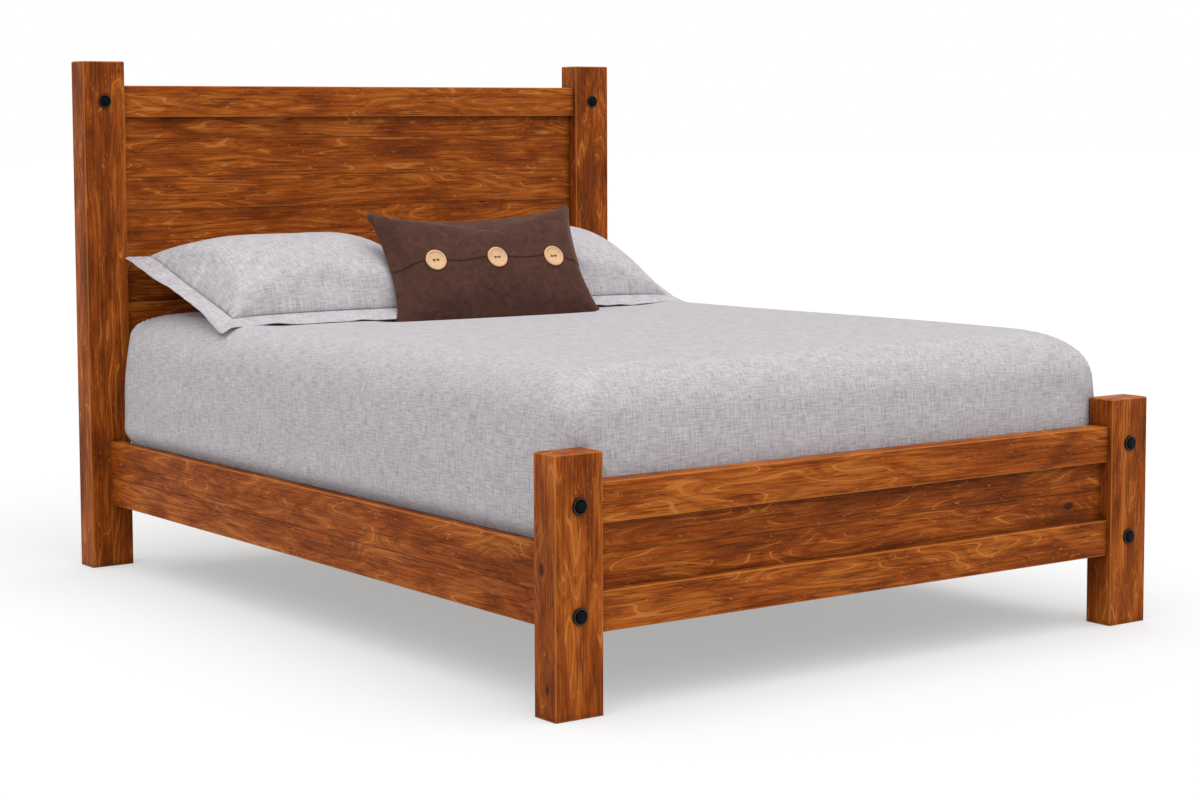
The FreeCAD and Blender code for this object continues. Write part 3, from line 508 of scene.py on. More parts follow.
@dataclass(frozen=True)
class Linen:
    """Slubby linen cloth: uneven warp and weft threads show as a fine mottled crosshatch."""

    name: str
    shadow: str
    body: str
    light: str
    slub_width: float = 0.0036      # threads are 0.5 mm; drawn coarser, so that they show
    slub_length: float = 0.036
    patches: float = 16.0           # to a metre
    patch_share: float = 0.22
    bump: float = 0.6
    relief: float = 0.0008

    def material(self) -> bpy.types.Material:
        """Makes the cloth's material on the weave map.

        Returns:
            The material.
        """
        material, shader = new_finish(
            self.name, {"Roughness": 0.9, "Specular IOR Level": 0.25, "Sheen Weight": 0.25,
                        "Sheen Roughness": 0.5, "Sheen Tint": linear(self.light)},
        )
        add = partial(add_node, material.node_tree)
        cloth = add("UVMap", {"uv_map": WEAVE})
        threads = []
        for seed, (long, wide) in enumerate(
            ((self.slub_length, self.slub_width), (self.slub_width, self.slub_length))
        ):
            drawn = add(
                "Mapping", None,
                {"Vector": cloth, "Scale": (1 / long, 1 / wide, 1.0), "Location": (seed * 7.3, 3.1, 0)},
            )
            threads.append(add(
                "TexNoise", None, {"Vector": drawn, "Scale": 1.0, "Detail": 4.0, "Roughness": 0.68},
            ))
        crossed = add("Math", "ADD", tuple(threads))
        patches = add(
            "TexNoise", None, {"Vector": cloth, "Scale": self.patches, "Detail": 4.0, "Roughness": 0.6},
        )
        mixed = add("Math", "MULTIPLY_ADD", (patches, self.patch_share, crossed))
        tone = add("MapRange", None, {"Value": mixed, "From Min": 0.80, "From Max": 1.42})
        stops = ((0.0, self.shadow), (0.5, self.body), (1.0, self.light))
        colour = add("ValToRGB", {"stops": stops}, (tone,)).outputs[0]
        return surface(material, shader, colour, crossed, self.bump, self.relief)


@dataclass(frozen=True)
class Suede:
    """Brushed suede cloth: a short nap, darker and lighter where it was stroked."""

    name: str = "dark_brown_suede_cloth"
    shadow: str = "#432A24"
    body: str = "#563931"
    light: str = "#6B4A41"
    strokes: float = 30.0           # to a metre
    nap: float = 420.0              # tufts to a metre, coarser than real so that they show
    nap_share: float = 0.3
    bump: float = 0.3
    relief: float = 0.0006

    def material(self) -> bpy.types.Material:
        """Makes the cloth's material on the weave map.

        Returns:
            The material.
        """
        material, shader = new_finish(
            self.name, {"Roughness": 0.95, "Specular IOR Level": 0.15, "Sheen Weight": 0.45,
                        "Sheen Roughness": 0.45, "Sheen Tint": linear("#B08C80")},
        )
        add = partial(add_node, material.node_tree)
        cloth = add("UVMap", {"uv_map": WEAVE})
        strokes = add(
            "TexNoise", None,
            {"Vector": cloth, "Scale": self.strokes, "Detail": 7.0, "Roughness": 0.74, "Distortion": 1.2},
        )
        nap = add("TexNoise", None, {"Vector": cloth, "Scale": self.nap, "Detail": 2.0})
        tone = add("Math", "MULTIPLY_ADD", (nap, self.nap_share, strokes))
        stops = ((0.38, self.shadow), (0.65, self.body), (0.95, self.light))
        colour = add("ValToRGB", {"stops": stops}, (tone,)).outputs[0]
        return surface(material, shader, colour, nap, self.bump, self.relief)


@dataclass(frozen=True)
class Metal:
    """Bare or coated metal, its gloss broken by fine handling marks."""

    name: str
    colour: str
    worn: str
    metallic: float
    roughness: float
    grit: float = 0.004     # spacing of the marks
    specular: float = 0.30
    bump: float = 0.08
    relief: float = 0.0004

    def material(self) -> bpy.types.Material:
        """Makes the metal's material on object coordinates.

        Returns:
            The material.
        """
        material, shader = new_finish(
            self.name, {"Metallic": self.metallic, "Specular IOR Level": self.specular},
        )
        add = partial(add_node, material.node_tree)
        place = add("TexCoord").outputs["Object"]
        marks = add(
            "TexNoise", None, {"Vector": place, "Scale": 1 / self.grit, "Detail": 4.0, "Roughness": 0.65},
        )
        gloss = add(
            "MapRange", None,
            {"Value": marks, "From Min": 0.3, "From Max": 0.7, "To Min": self.roughness - 0.08,
             "To Max": self.roughness + 0.12},
        )
        stops = ((0.45, self.colour), (0.75, self.worn))
        colour = add("ValToRGB", {"stops": stops}, (marks,)).outputs[0]
        return surface(material, shader, colour, marks, self.bump, self.relief, gloss)


BLACK_ENAMEL = Metal("black_satin_enamel", "#0B0A0A", "#171615", 0.0, 0.40, specular=0.06)
# Painted highlight: paler enamel for the bolts' ring faces and eased edges.
ENAMEL_PAINTED_HIGHLIGHT = Metal("black_enamel_painted_highlight", "#201F1E", "#474542", 0.0, 0.34, specular=0.2)
ZINC = Metal("bright_zinc_plate", "#A9ACAE", "#C4C6C6", 1.0, 0.38, grit=0.009)
MOULDED_RUBBER = Metal("moulded_black_rubber", "#1B1B1C", "#2A2A2B", 0.0, 0.8, grit=0.002)


@dataclass(frozen=True)
class Upholstery:
    """Woven or knitted cover cloth on object coordinates, with fine crossing ribs."""

    name: str
    dark: str
    light: str
    rib: float              # spacing of the ribs, drawn coarse enough to show
    bump: float
    relief: float = 0.001
    rib_share: float = 0.25
    patches: float = 9.0    # to a metre

    def material(self) -> bpy.types.Material:
        """Makes the cover's material on object coordinates.

        Returns:
            The material.
        """
        material, shader = new_finish(
            self.name, {"Roughness": 0.92, "Specular IOR Level": 0.2, "Sheen Weight": 0.15},
        )
        add = partial(add_node, material.node_tree)
        place = add("TexCoord").outputs["Object"]
        ribs = [
            add(
                "TexWave", {"bands_direction": direction, "wave_profile": "SIN"},
                {"Vector": place, "Scale": math.pi / (10 * self.rib), "Distortion": 0.6, "Detail": 1.0},
            ).outputs[1]
            for direction in ("X", "Y", "Z")
        ]
        knit = add("Math", "MULTIPLY_ADD", tuple(ribs))
        patches = add("TexNoise", None, {"Vector": place, "Scale": self.patches, "Detail": 4.0})
        tone = add("Math", "MULTIPLY_ADD", (knit, self.rib_share, patches))
        stops = ((0.4, self.dark), (0.95, self.light))
        colour = add("ValToRGB", {"stops": stops}, (tone,)).outputs[0]
        return surface(material, shader, colour, knit, self.bump, self.relief)


LINEN = Linen("lavender_grey_linen", "#A19B9F", "#CFCACE", "#EBE8EB")
SUEDE = Suede()
TICKING = Upholstery("woven_cotton_ticking", "#BDB8AE", "#D9D5CC", 0.006, 0.2)
KNIT = Upholstery("quilted_knit", "#D5D1C8", "#EAE7E0", 0.010, 0.35)
TAPE = Upholstery("binding_tape", "#A8A49B", "#C3BFB6", 0.004, 0.25)
THREAD = Upholstery("waxed_cotton_thread", "#8A6A4A", "#B08C62", 0.002, 0.3)


@dataclass(frozen=True)
class TurnedWood:
    """Pale turned and waxed wood with close, faint grain."""

    name: str = "waxed_turned_wood"
    dark: str = "#E2AE78"
    light: str = "#F2C697"
    grain: tuple[float, float, float] = (60.0, 700.0, 500.0)    # streaks to a metre
    bump: float = 0.12
    relief: float = 0.0004

    def material(self) -> bpy.types.Material:
        """Makes the wood's material on object coordinates.

        Returns:
            The material.
        """
        material, shader = new_finish(self.name, {"Coat Weight": 0.2, "Coat Roughness": 0.25, "IOR": 1.5})
        add = partial(add_node, material.node_tree)
        place = add("TexCoord").outputs["Object"]
        drawn = add("Mapping", None, {"Vector": place, "Scale": self.grain})
        grain = add("TexNoise", None, {"Vector": drawn, "Scale": 1.0, "Detail": 3.0})
        stops = ((0.3, self.dark), (0.62, self.light))
        colour = add("ValToRGB", {"stops": stops}, (grain,)).outputs[0]
        gloss = add("MapRange", None, {"Value": grain, "To Min": 0.5, "To Max": 0.36})
        return surface(material, shader, colour, grain, self.bump, self.relief, gloss)


TURNED_WOOD = TurnedWood()


# Timber frame and base

@dataclass
class TimberFrame:
    """Posts, rails, panels and side rails: CAD solids, each board with its own figure."""

    upright: tuple[str, ...] = ("head_post_left", "head_post_right", "foot_post_left", "foot_post_right")
    across: tuple[str, ...] = (
        "head_top_rail", "head_bottom_rail", "foot_top_rail", "foot_bottom_rail",
        *(f"headboard_plank_{index}" for index in range(1, 7)),
        "foot_panel_board_lower", "foot_panel_board_upper",
    )
    along: tuple[str, ...] = ("side_rail_left", "side_rail_right")
    glue_line: float = 0.242        # where two boards make up a side rail
    shades: tuple[tuple[str, float], ...] = (
        ("head_post", -0.035), ("headboard_plank", 0.01), ("foot_panel", -0.035), ("foot_post", 0.02),
        ("head_top_rail", 0.05), ("foot_top_rail", 0.05), ("foot_bottom_rail", 0.03), ("side_rail", 0.03),
    )                               # painted light and shade: how much paler a board is painted, by the start of its name
    seed: float = 1.9
    seed_step: float = 2.37         # between one board's figure and the next

    def dress(self) -> None:
        """Stains every board, each with its own piece of grain."""
        boards = [
            *((name, Grain.UPRIGHT) for name in self.upright),
            *((name, Grain.ACROSS_BED) for name in self.across),
            *((name, Grain.ALONG_BED) for name in self.along),
        ]
        for index, (name, grain) in enumerate(boards):
            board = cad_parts[name]
            joint = self.glue_line if grain is Grain.ALONG_BED else None
            shade = sum(value for start, value in self.shades if name.startswith(start))
            seed = self.seed + self.seed_step * index
            dress_node(board, STAINED_PINE.board(board, grain, seed, joint, shade))


@dataclass
class SlattedBase:
    """Ledgers, slats, centre beam, legs and hook plates: CAD solids in plain pine and zinc."""

    slat_count: int = 11
    leg_count: int = 3
    steel: tuple[str, ...] = ("rail_hook_plates", "post_hook_plates", "beam_stirrup")
    seed: float = 4.2

    def dress(self) -> None:
        """Gives pine, zinc and rubber to the parts under the bedding."""
        groups = (
            (Grain.ACROSS_BED, [f"slat_{index:02d}" for index in range(1, self.slat_count + 1)]),
            (Grain.ALONG_BED, ["ledger_left", "ledger_right", "centre_beam"]),
            (Grain.UPRIGHT, [f"centre_leg_{index}" for index in range(1, self.leg_count + 1)]),
        )
        for grain, names in groups:
            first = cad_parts[names[0]]
            pine = PLAIN_PINE.board(first, grain, self.seed + grain.value[0])
            for name in names:
                dress_node(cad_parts[name], pine)
        zinc = ZINC.material()
        for name in self.steel:
            dress_node(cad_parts[name], zinc)
        dress_node(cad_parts["leg_feet"], MOULDED_RUBBER.material())


def dress_node(node: bpy.types.Object, material: bpy.types.Material) -> None:
    """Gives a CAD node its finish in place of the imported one.

    Args:
        node: The node.
        material: Its finish.
    """
    if not node.material_slots:
        node.data.materials.append(material)
    for slot in node.material_slots:
        slot.material = material
    log.info("%s wears %s", node.name, material.name)


@dataclass
class TenonBolts:
    """Six black bolts through the posts: a raised ring round a dished washer and a button head."""

    ring_radius: float = 0.0175
    ring_width: float = 0.0035
    ring_height: float = 0.0045
    dish_floor: float = 0.0018
    button_radius: float = 0.0105
    proud: float = 0.006
    shank_radius: float = 0.005
    reach: float = 0.062
    across: float = 0.7985
    head_face: float = 1.047
    foot_face: float = -1.117
    head_heights: tuple[float, ...] = (1.248,)
    foot_heights: tuple[float, ...] = (0.431, 0.209)
    steps: int = 56
    edge: float = 0.0009            # width of the rounded edges, which carry a painted highlight

    def build(self) -> None:
        """Spins one bolt for each place on the posts' front faces."""
        for end, face, heights, node in (
            ("head", self.head_face, self.head_heights, "head_tenon_bolts"),
            ("foot", self.foot_face, self.foot_heights, "foot_tenon_bolts"),
        ):
            for row, height in enumerate(heights, 1):
                for side, sign in (("left", -1), ("right", 1)):
                    place = Vector((sign * self.across, face, height))
                    bolt = self._bolt(f"tenon_bolt_{end}_{side}_{row}", place)
                    wear(bolt, BLACK_ENAMEL, ENAMEL_PAINTED_HIGHLIGHT)
                    settle(bolt, "black_hardware", node)

    def _bolt(self, name: str, place: Vector) -> bpy.types.Object:
        """Spins a bolt about the axis that leaves the post's face.

        Args:
            name: The piece's name.
            place: The centre of the head on the post's face.

        Returns:
            The bolt.
        """
        profile = (
            (0.0, self.reach), (self.shank_radius, self.reach), (self.shank_radius, 0.0),
            (self.ring_radius, 0.0), (self.ring_radius, -self.ring_height),
            (self.ring_radius - self.ring_width, -self.ring_height),
            (self.button_radius + 0.0012, -self.dish_floor), (self.button_radius, -self.dish_floor),
            (self.button_radius, -self.proud * 0.82), (self.button_radius * 0.8, -self.proud),
            (0.0, -self.proud),
        )
        bm = bmesh.new()
        points = [bm.verts.new(place + Vector((radius, out, 0))) for radius, out in profile]
        edges = [bm.edges.new(pair) for pair in zip(points, points[1:])]
        bmesh.ops.spin(
            bm, geom=points + edges, cent=place, axis=(0, 1, 0), angle=math.tau, steps=self.steps,
            use_merge=True,
        )
        bmesh.ops.remove_doubles(bm, verts=bm.verts, dist=1e-6)
        bmesh.ops.recalc_face_normals(bm, faces=bm.faces)
        bolt = link_piece(name, bm)
        for face in bolt.data.polygons:
            off = face.center - place
            # The ring's flat front and its eased edges take the paler enamel: a painted highlight.
            lip = self.ring_radius - self.ring_width < math.hypot(off.x, off.z) and off.y < -self.dish_floor
            face.material_index = int(lip and abs(face.normal.y) > 0.9)
        bevel = bolt.modifiers.new("eased_edges", "BEVEL")
        bevel.width, bevel.segments, bevel.limit_method = self.edge, 3, "ANGLE"
        bevel.angle_limit, bevel.material = math.radians(28), 1
        return applied(bolt)


# Coverlet

@dataclass(frozen=True)
class Crease:
    """One crease or soft fold on the coverlet's drop."""

    start: tuple[float, float, float]
    end: tuple[float, float, float]
    depth: float            # outwards; a crease that runs in is negative
    width: float

    def push(self, place: Vector) -> float:
        """Gives how far the crease moves the cloth.

        Args:
            place: A point of the cloth.

        Returns:
            The move there, which fades with the distance from the crease.
        """
        first, last = Vector(self.start), Vector(self.end)
        run = last - first
        part = max(0.0, min(1.0, (place - first).dot(run) / run.length_squared))
        off = (place - first - run * part).length
        taper = math.sin(math.pi * min(1.0, 0.15 + part * 0.85)) ** 0.5
        return self.depth * taper * math.exp(-((off / self.width) ** 2))


@dataclass
class Coverlet:
    """A linen coverlet drawn over the mattress and tucked in at the sides and the foot."""

    half_width: float = 0.7673
    foot: float = -1.0423
    head: float = 1.0003
    top: float = 0.6799
    edge_radius: float = 0.105      # where the top turns down at the sides and the foot
    head_edge_radius: float = 0.045
    plan_radius: float = 0.042
    head_radius: float = 0.026
    crown_radius: float = 0.12      # the top's corners in plan
    rise: tuple[float, float] = (0.002, 0.013)      # of the top over its CAD height, at head and foot
    press: float = 0.009            # how deep the pillows lie in
    hem: float = 0.300
    head_hem: float = 0.560
    thickness: float = 0.004
    bulge: float = 0.022
    foot_bulge: float = 0.007
    crown: float = 0.005
    top_share: float = 0.60         # of the way out from the middle, where the edge begins to turn
    turn_share: float = 0.36        # of the way down from the top's edge, where the turn ends
    parts: int = 168
    post_top: float = 0.545
    post_inside: float = 0.733
    post_back: float = -1.0385
    rail_top: float = 0.338
    rail_inside: float = 0.7692
    foot_rail_top: float = 0.473
    foot_rail_inside: float = -1.0525
    flat: tuple[float, float] = (2.21, 2.49)
    creases: tuple[Crease, ...] = (
        Crease((-0.775, -0.975, 0.62), (-0.775, -0.972, 0.36), 0.006, 0.018),
        Crease((-0.780, -0.93, 0.60), (-0.778, -0.955, 0.34), -0.005, 0.016),
        Crease((-0.778, -0.86, 0.45), (-0.776, -0.90, 0.34), -0.003, 0.012),
        Crease((-0.778, -0.87, 0.40), (-0.778, -0.885, 0.34), 0.004, 0.010),
        Crease((0.60, -1.045, 0.62), (0.69, -1.04, 0.50), -0.005, 0.016),
        Crease((0.66, -1.045, 0.64), (0.74, -1.02, 0.50), 0.006, 0.015),
        Crease((0.70, -1.02, 0.66), (0.765, -0.98, 0.52), -0.004, 0.014),
    )
    dents: tuple[Crease, ...] = (   # under the cushion, their depth downwards
        Crease((-0.22, 0.465, 0.67), (0.37, 0.405, 0.67), 0.022, 0.060),
    )
    top_waves: tuple[tuple[float, float, float], ...] = (   # height, pitch and seed
        (0.0022, 0.30, 3.1), (0.0012, 0.11, 8.4),
    )
    drop_waves: tuple[tuple[float, float, float], ...] = (
        (0.0035, 0.34, 5.5), (0.0012, 0.09, 1.3),
    )
    pucker: tuple[float, float, float] = (0.0022, 0.045, 2.2)       # where the cloth is tucked in

    def build(self) -> bpy.types.Object:
        """Builds the cloth from one grid, laid in rings from the middle of the top to the hem.

        Returns:
            The finished piece.
        """
        cloth = link_piece("linen_coverlet", self.sheet())
        wear(cloth, LINEN)
        solid = cloth.modifiers.new("cloth_thickness", "SOLIDIFY")
        solid.thickness, solid.offset, solid.use_even_offset = self.thickness, -1.0, False
        settle(cloth, "coverlet_linen", "coverlet")
        return cloth

    def sheet(self) -> bmesh.types.BMesh:
        """Lays the cloth's outer face, with its weave map.

        Returns:
            The face as an open sheet, its normals outwards.
        """
        bm = bmesh.new()
        bmesh.ops.create_grid(bm, x_segments=self.parts, y_segments=self.parts, size=1.0)
        sheet = bm.loops.layers.uv.new(WEAVE)
        spots = {}
        for vertex in bm.verts:
            spots[vertex] = self._spot(vertex.co.x, vertex.co.y)
        for face in bm.faces:
            middle = face.calc_center_median()
            sideways = abs(middle.x) >= abs(middle.y)
            for loop in face.loops:
                flat, _, way, drop = spots[loop.vert]
                if sideways:
                    loop[sheet].uv = (flat.x + math.copysign(drop, middle.x), flat.y)
                else:
                    loop[sheet].uv = (flat.x, flat.y + math.copysign(drop, middle.y))
        for vertex, (_, place, _, _) in spots.items():
            vertex.co = place
        bmesh.ops.recalc_face_normals(bm, faces=bm.faces)
        if max(bm.faces, key=lambda face: face.calc_center_median().z).normal.z < 0:
            bmesh.ops.reverse_faces(bm, faces=bm.faces)
        return bm

    def _outline(self, sway: float, along: float, half: Vector, radius: float) -> tuple[Vector, Vector]:
        """Finds a point on a rounded rectangle from its square's outline.

        Args:
            sway: Place across the square, from -1 to 1.
            along: Place along the square, from -1 to 1; one of the two is at an end.
            half: Half the rectangle's size.
            radius: Its corner radius.

        Returns:
            The point and the outward direction there, both level.
        """
        turned = abs(along) > abs(sway)
        main, other = (along, sway) if turned else (sway, along)
        reach, side = (half.y, half.x) if turned else (half.x, half.y)
        straight = side - radius
        run = other * (straight + radius * math.pi / 4)
        angle = max(0.0, (abs(run) - straight) / radius) if radius > 0 else 0.0
        across = math.copysign(min(abs(run), straight) + radius * math.sin(angle), other)
        out = math.copysign(reach - radius + radius * math.cos(angle), main)
        way = Vector((math.copysign(math.cos(angle), main), math.copysign(math.sin(angle), other), 0))
        if turned:
            return Vector((across, out, 0)), Vector((way.y, way.x, 0))
        return Vector((out, across, 0)), way

    def _spot(self, sway: float, along: float) -> tuple[Vector, Vector, Vector, float]:
        """Lays one point of the grid on the bed.

        Args:
            sway: Place across the grid, from -1 to 1.
            along: Place along the grid, from -1 to 1.

        Returns:
            Its place on the flat top, its place in the room, the outward way and the drop.
        """
        middle = Vector((0, (self.foot + self.head) / 2, 0))
        whole = Vector((self.half_width, (self.head - self.foot) / 2, 0))
        ring = max(abs(sway), abs(along))
        if ring < 1e-9:
            return middle.copy(), middle + Vector((0, 0, self._top_height(middle))), Vector(), 0.0
        if ring <= self.top_share:
            share = ring / self.top_share
            half, shift = self._inset(whole, 1.0)
            flat, way = self._outline(
                sway / ring, along / ring, half * share, self.crown_radius * share,
            )
            flat += middle + shift * share
            return flat, flat + Vector((0, 0, self._top_height(flat))), way, 0.0
        plan = self.head_radius if along > 0 else self.plan_radius
        edge, way = self._outline(sway / ring, along / ring, whole, plan)
        top = self._level(edge.y + middle.y)
        hem = self.hem
        if along > 0:
            hem += (self.head_hem - self.hem) * ease(way.y, 0.55, 0.85)
        bend = self.edge_radius + (self.head_edge_radius - self.edge_radius) * ease(way.y, 0.25, 0.9)
        part = (ring - self.top_share) / (1 - self.top_share)
        turned = min(1.0, part / self.turn_share)
        fallen = max(0.0, part - self.turn_share) / (1 - self.turn_share) * (top - bend - hem)
        angle = turned * math.pi / 2
        back = 1 - math.sin(angle)
        half, shift = self._inset(whole, back)
        radius = plan + (self.crown_radius - plan) * back
        flat, way = self._outline(sway / ring, along / ring, half, radius)
        flat += middle + shift
        height = top - bend * (1 - math.cos(angle)) - fallen
        drop = bend * angle + fallen
        place = Vector((flat.x, flat.y, height))
        place += way * self._push(place, way, height)
        if height < self.post_top and abs(place.x) > self.post_inside:
            place.y = max(place.y, self.post_back)
        if height < self.rail_top + 0.006:
            place.x = math.copysign(min(abs(place.x), self.rail_inside), place.x)
        if height < self.foot_rail_top + 0.004:
            place.y = max(place.y, self.foot_rail_inside)
        return flat, place, way, drop

    def _inset(self, whole: Vector, back: float) -> tuple[Vector, Vector]:
        """Draws the bed's outline in by a share of each side's edge radius.

        Args:
            whole: Half the size of the full outline.
            back: The share.

        Returns:
            Half the size of the smaller outline, and how far its middle lies off.
        """
        head, foot = self.head_edge_radius * back, self.edge_radius * back
        return whole - Vector((foot, (head + foot) / 2, 0)), Vector((0, (foot - head) / 2, 0))

    def _level(self, along: float) -> float:
        """Gives the height of the top at a place along the bed, before its crown and waves."""
        return self.top + self.rise[1] + (self.rise[0] - self.rise[1]) * ease(along, -0.9, 0.5)

    def _top_height(self, flat: Vector) -> float:
        """Gives the height of the cloth on the top of the bed: soft, but pressed by the pillows.

        Args:
            flat: A place on the top.

        Returns:
            The height there.
        """
        free = 1 - ease(flat.y, 0.05, 0.42)
        shape = (1 - (flat.x / self.half_width) ** 2) * free * ease(flat.y, self.foot, self.foot + 0.5)
        edge = ease(self.half_width - self.edge_radius - abs(flat.x), 0, 0.25)
        edge *= ease(flat.y - self.foot - self.edge_radius, 0, 0.25)
        wave = sum(height * ripple(flat, pitch, seed) for height, pitch, seed in self.top_waves)
        lain = ease(flat.y, 0.22, 0.55) * (1 - ease(abs(flat.x), 0.56, 0.70))
        lain *= 1 - ease(flat.y, 0.80, 0.94)
        dented = sum(dent.push(Vector((flat.x, flat.y, dent.start[2]))) for dent in self.dents)
        sunk = self.press * lain + dented
        return self._level(flat.y) + self.crown * shape + (wave - 0.0010) * edge * (0.25 + 0.75 * free) - sunk

    def height(self, x: float, y: float) -> float:
        """Gives the height of the cloth over a place on the bed, its rounded sides included.

        Args:
            x: The place across the bed.
            y: The place along the bed.

        Returns:
            The height there.
        """
        over = max(0.0, abs(x) - self.half_width + self.edge_radius)
        sink = self.edge_radius - math.sqrt(max(0.0, self.edge_radius ** 2 - over * over))
        return self._top_height(Vector((x, y, 0))) - sink

    def _push(self, place: Vector, way: Vector, height: float) -> float:
        """Gives how far the drop stands out from the mattress.

        Args:
            place: A point of the drop, before it is pushed.
            way: The level outward direction there.
            height: Its height.

        Returns:
            The push along the outward direction, inwards if negative.
        """
        belly = ease(height, 0.330, 0.375) * (1 - 0.9 * ease(height, 0.46, self.top))
        most = self.bulge * way.x ** 2 + self.foot_bulge * way.y ** 2 * (1 if way.y < 0 else 0.3)
        push = most * belly
        free = ease(height, 0.345, 0.42) * (1 - ease(height, 0.60, self.top))
        push += free * sum(high * ripple(place, pitch, seed) for high, pitch, seed in self.drop_waves)
        gathered = (1 - ease(height, 0.36, 0.43)) * ease(height, 0.318, 0.345)
        high, pitch, seed = self.pucker
        push += high * gathered * ripple(Vector((place.x, place.y, place.z * 0.25)), pitch, seed)
        for crease in self.creases:
            push += crease.push(place)
        return push


# Mattress and foundation

@dataclass
class QuiltedBlock:
    """A sprung block in a cover, its border pulled in along sewn lines, its edges taped."""

    name: str
    node: str
    slot: str
    cover: Upholstery
    fill: float
    plan_radius: float
    top_radius: float
    foot_radius: float
    lines: tuple[float, ...]        # heights of the sewn lines, as shares of the block's height
    line_depth: float
    tape_radius: float
    seam_steps: tuple[float, ...] = (-0.011, -0.004, 0.0, 0.004, 0.011)     # cuts round a sewn line
    under: Coverlet | None = None   # the cloth that the block's top lies under
    cloth_gap: float = 0.007
    cells: tuple[int, int] = (32, 44)       # of the top under the cloth, across and along the bed
    covered: float = 0.112          # from the top down to the upper tape, where a cloth lies over it

    def build(self) -> bpy.types.Object:
        """Builds the block inside its CAD node's box.

        Returns:
            The finished piece.
        """
        low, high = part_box(self.node)
        bm = bmesh.new()
        bmesh.ops.create_cube(bm, size=1.0)
        bmesh.ops.scale(bm, vec=high - low, verts=bm.verts)
        bmesh.ops.translate(bm, vec=(low + high) / 2, verts=bm.verts)
        upright = [edge for edge in bm.edges if abs(edge.verts[0].co.z - edge.verts[1].co.z) > 0.01]
        bmesh.ops.bevel(
            bm, geom=upright, offset=self.plan_radius, affect="EDGES", segments=8, profile=0.5, material=-1,
        )
        for level, radius, parts in (
            (high.z, self.top_radius, 8), (low.z, self.foot_radius, 4),
        ):
            rim = [edge for edge in bm.edges if all(abs(v.co.z - level) < 1e-6 for v in edge.verts)]
            bmesh.ops.bevel(
                bm, geom=rim, offset=radius, affect="EDGES", segments=parts, profile=0.5, material=-1,
            )
        middle = (low + high) / 2
        for share in self.lines:
            level = low.z + share * (high.z - low.z)
            for step in self.seam_steps:
                bmesh.ops.bisect_plane(
                    bm, geom=[*bm.verts, *bm.edges, *bm.faces], plane_co=(0, 0, level + step),
                    plane_no=(0, 0, 1),
                )
            for vertex in bm.verts:
                off = abs(vertex.co.z - level)
                if off < 0.006:
                    pull = self.line_depth * (1.0 if off < 0.001 else 0.35)
                    away = Vector((vertex.co.x - middle.x, vertex.co.y - middle.y, 0))
                    side = Vector((math.copysign(1, away.x), 0, 0))
                    if (high.y - low.y) / 2 - abs(away.y) < (high.x - low.x) / 2 - abs(away.x):
                        side = Vector((0, math.copysign(1, away.y), 0))
                    vertex.co -= side * pull
        if self.under:
            self._tuck_under(bm, low, high)
        block = link_piece(self.name, bm)
        wear(block, self.cover, TAPE)
        self._tape(block, low, high)
        settle(block, self.slot, self.node)
        return block

    def _tuck_under(self, bm: bmesh.types.BMesh, low: Vector, high: Vector) -> None:
        """Divides the top and draws it in beneath the cloth that covers it.

        Args:
            bm: The block's mesh.
            low: The block's lowest corner.
            high: The block's highest corner.
        """
        for axis, count in enumerate(self.cells):
            for index in range(1, count):
                place, way = Vector(), Vector()
                place[axis] = low[axis] + (high[axis] - low[axis]) * index / count
                way[axis] = 1.0
                bmesh.ops.bisect_plane(
                    bm, geom=[*bm.verts, *bm.edges, *bm.faces], plane_co=place, plane_no=way,
                )
        cloth = BVHTree.FromBMesh(self.under.sheet())
        for vertex in bm.verts:
            if vertex.co.z < (low.z + high.z) / 2:
                continue
            near, way, _, _ = cloth.find_nearest(vertex.co)
            if (vertex.co - near).dot(way) > -self.cloth_gap:
                vertex.co = near - way * self.cloth_gap

    def _tape(self, block: bpy.types.Object, low: Vector, high: Vector) -> None:
        """Adds the round tape at the top and foot edges of the border.

        Args:
            block: The piece that the tape joins.
            low: The block's lowest corner.
            high: The block's highest corner.
        """
        reach = self.tape_radius
        sink = max(self.top_radius, reach, self.covered if self.under else 0.0)
        levels = (low.z + max(self.foot_radius, reach) + 0.004, high.z - sink - 0.004)
        bm = bmesh.new()
        bm.from_mesh(block.data)
        for level in levels:
            ring = tube_round(low, high, level, self.plan_radius, reach)
            first = len(bm.faces)
            bm.from_mesh(ring)
            bm.faces.ensure_lookup_table()
            for face in bm.faces[first:]:
                face.material_index = 1
                face.smooth = True
            bpy.data.meshes.remove(ring)
        bm.to_mesh(block.data)
        bm.free()


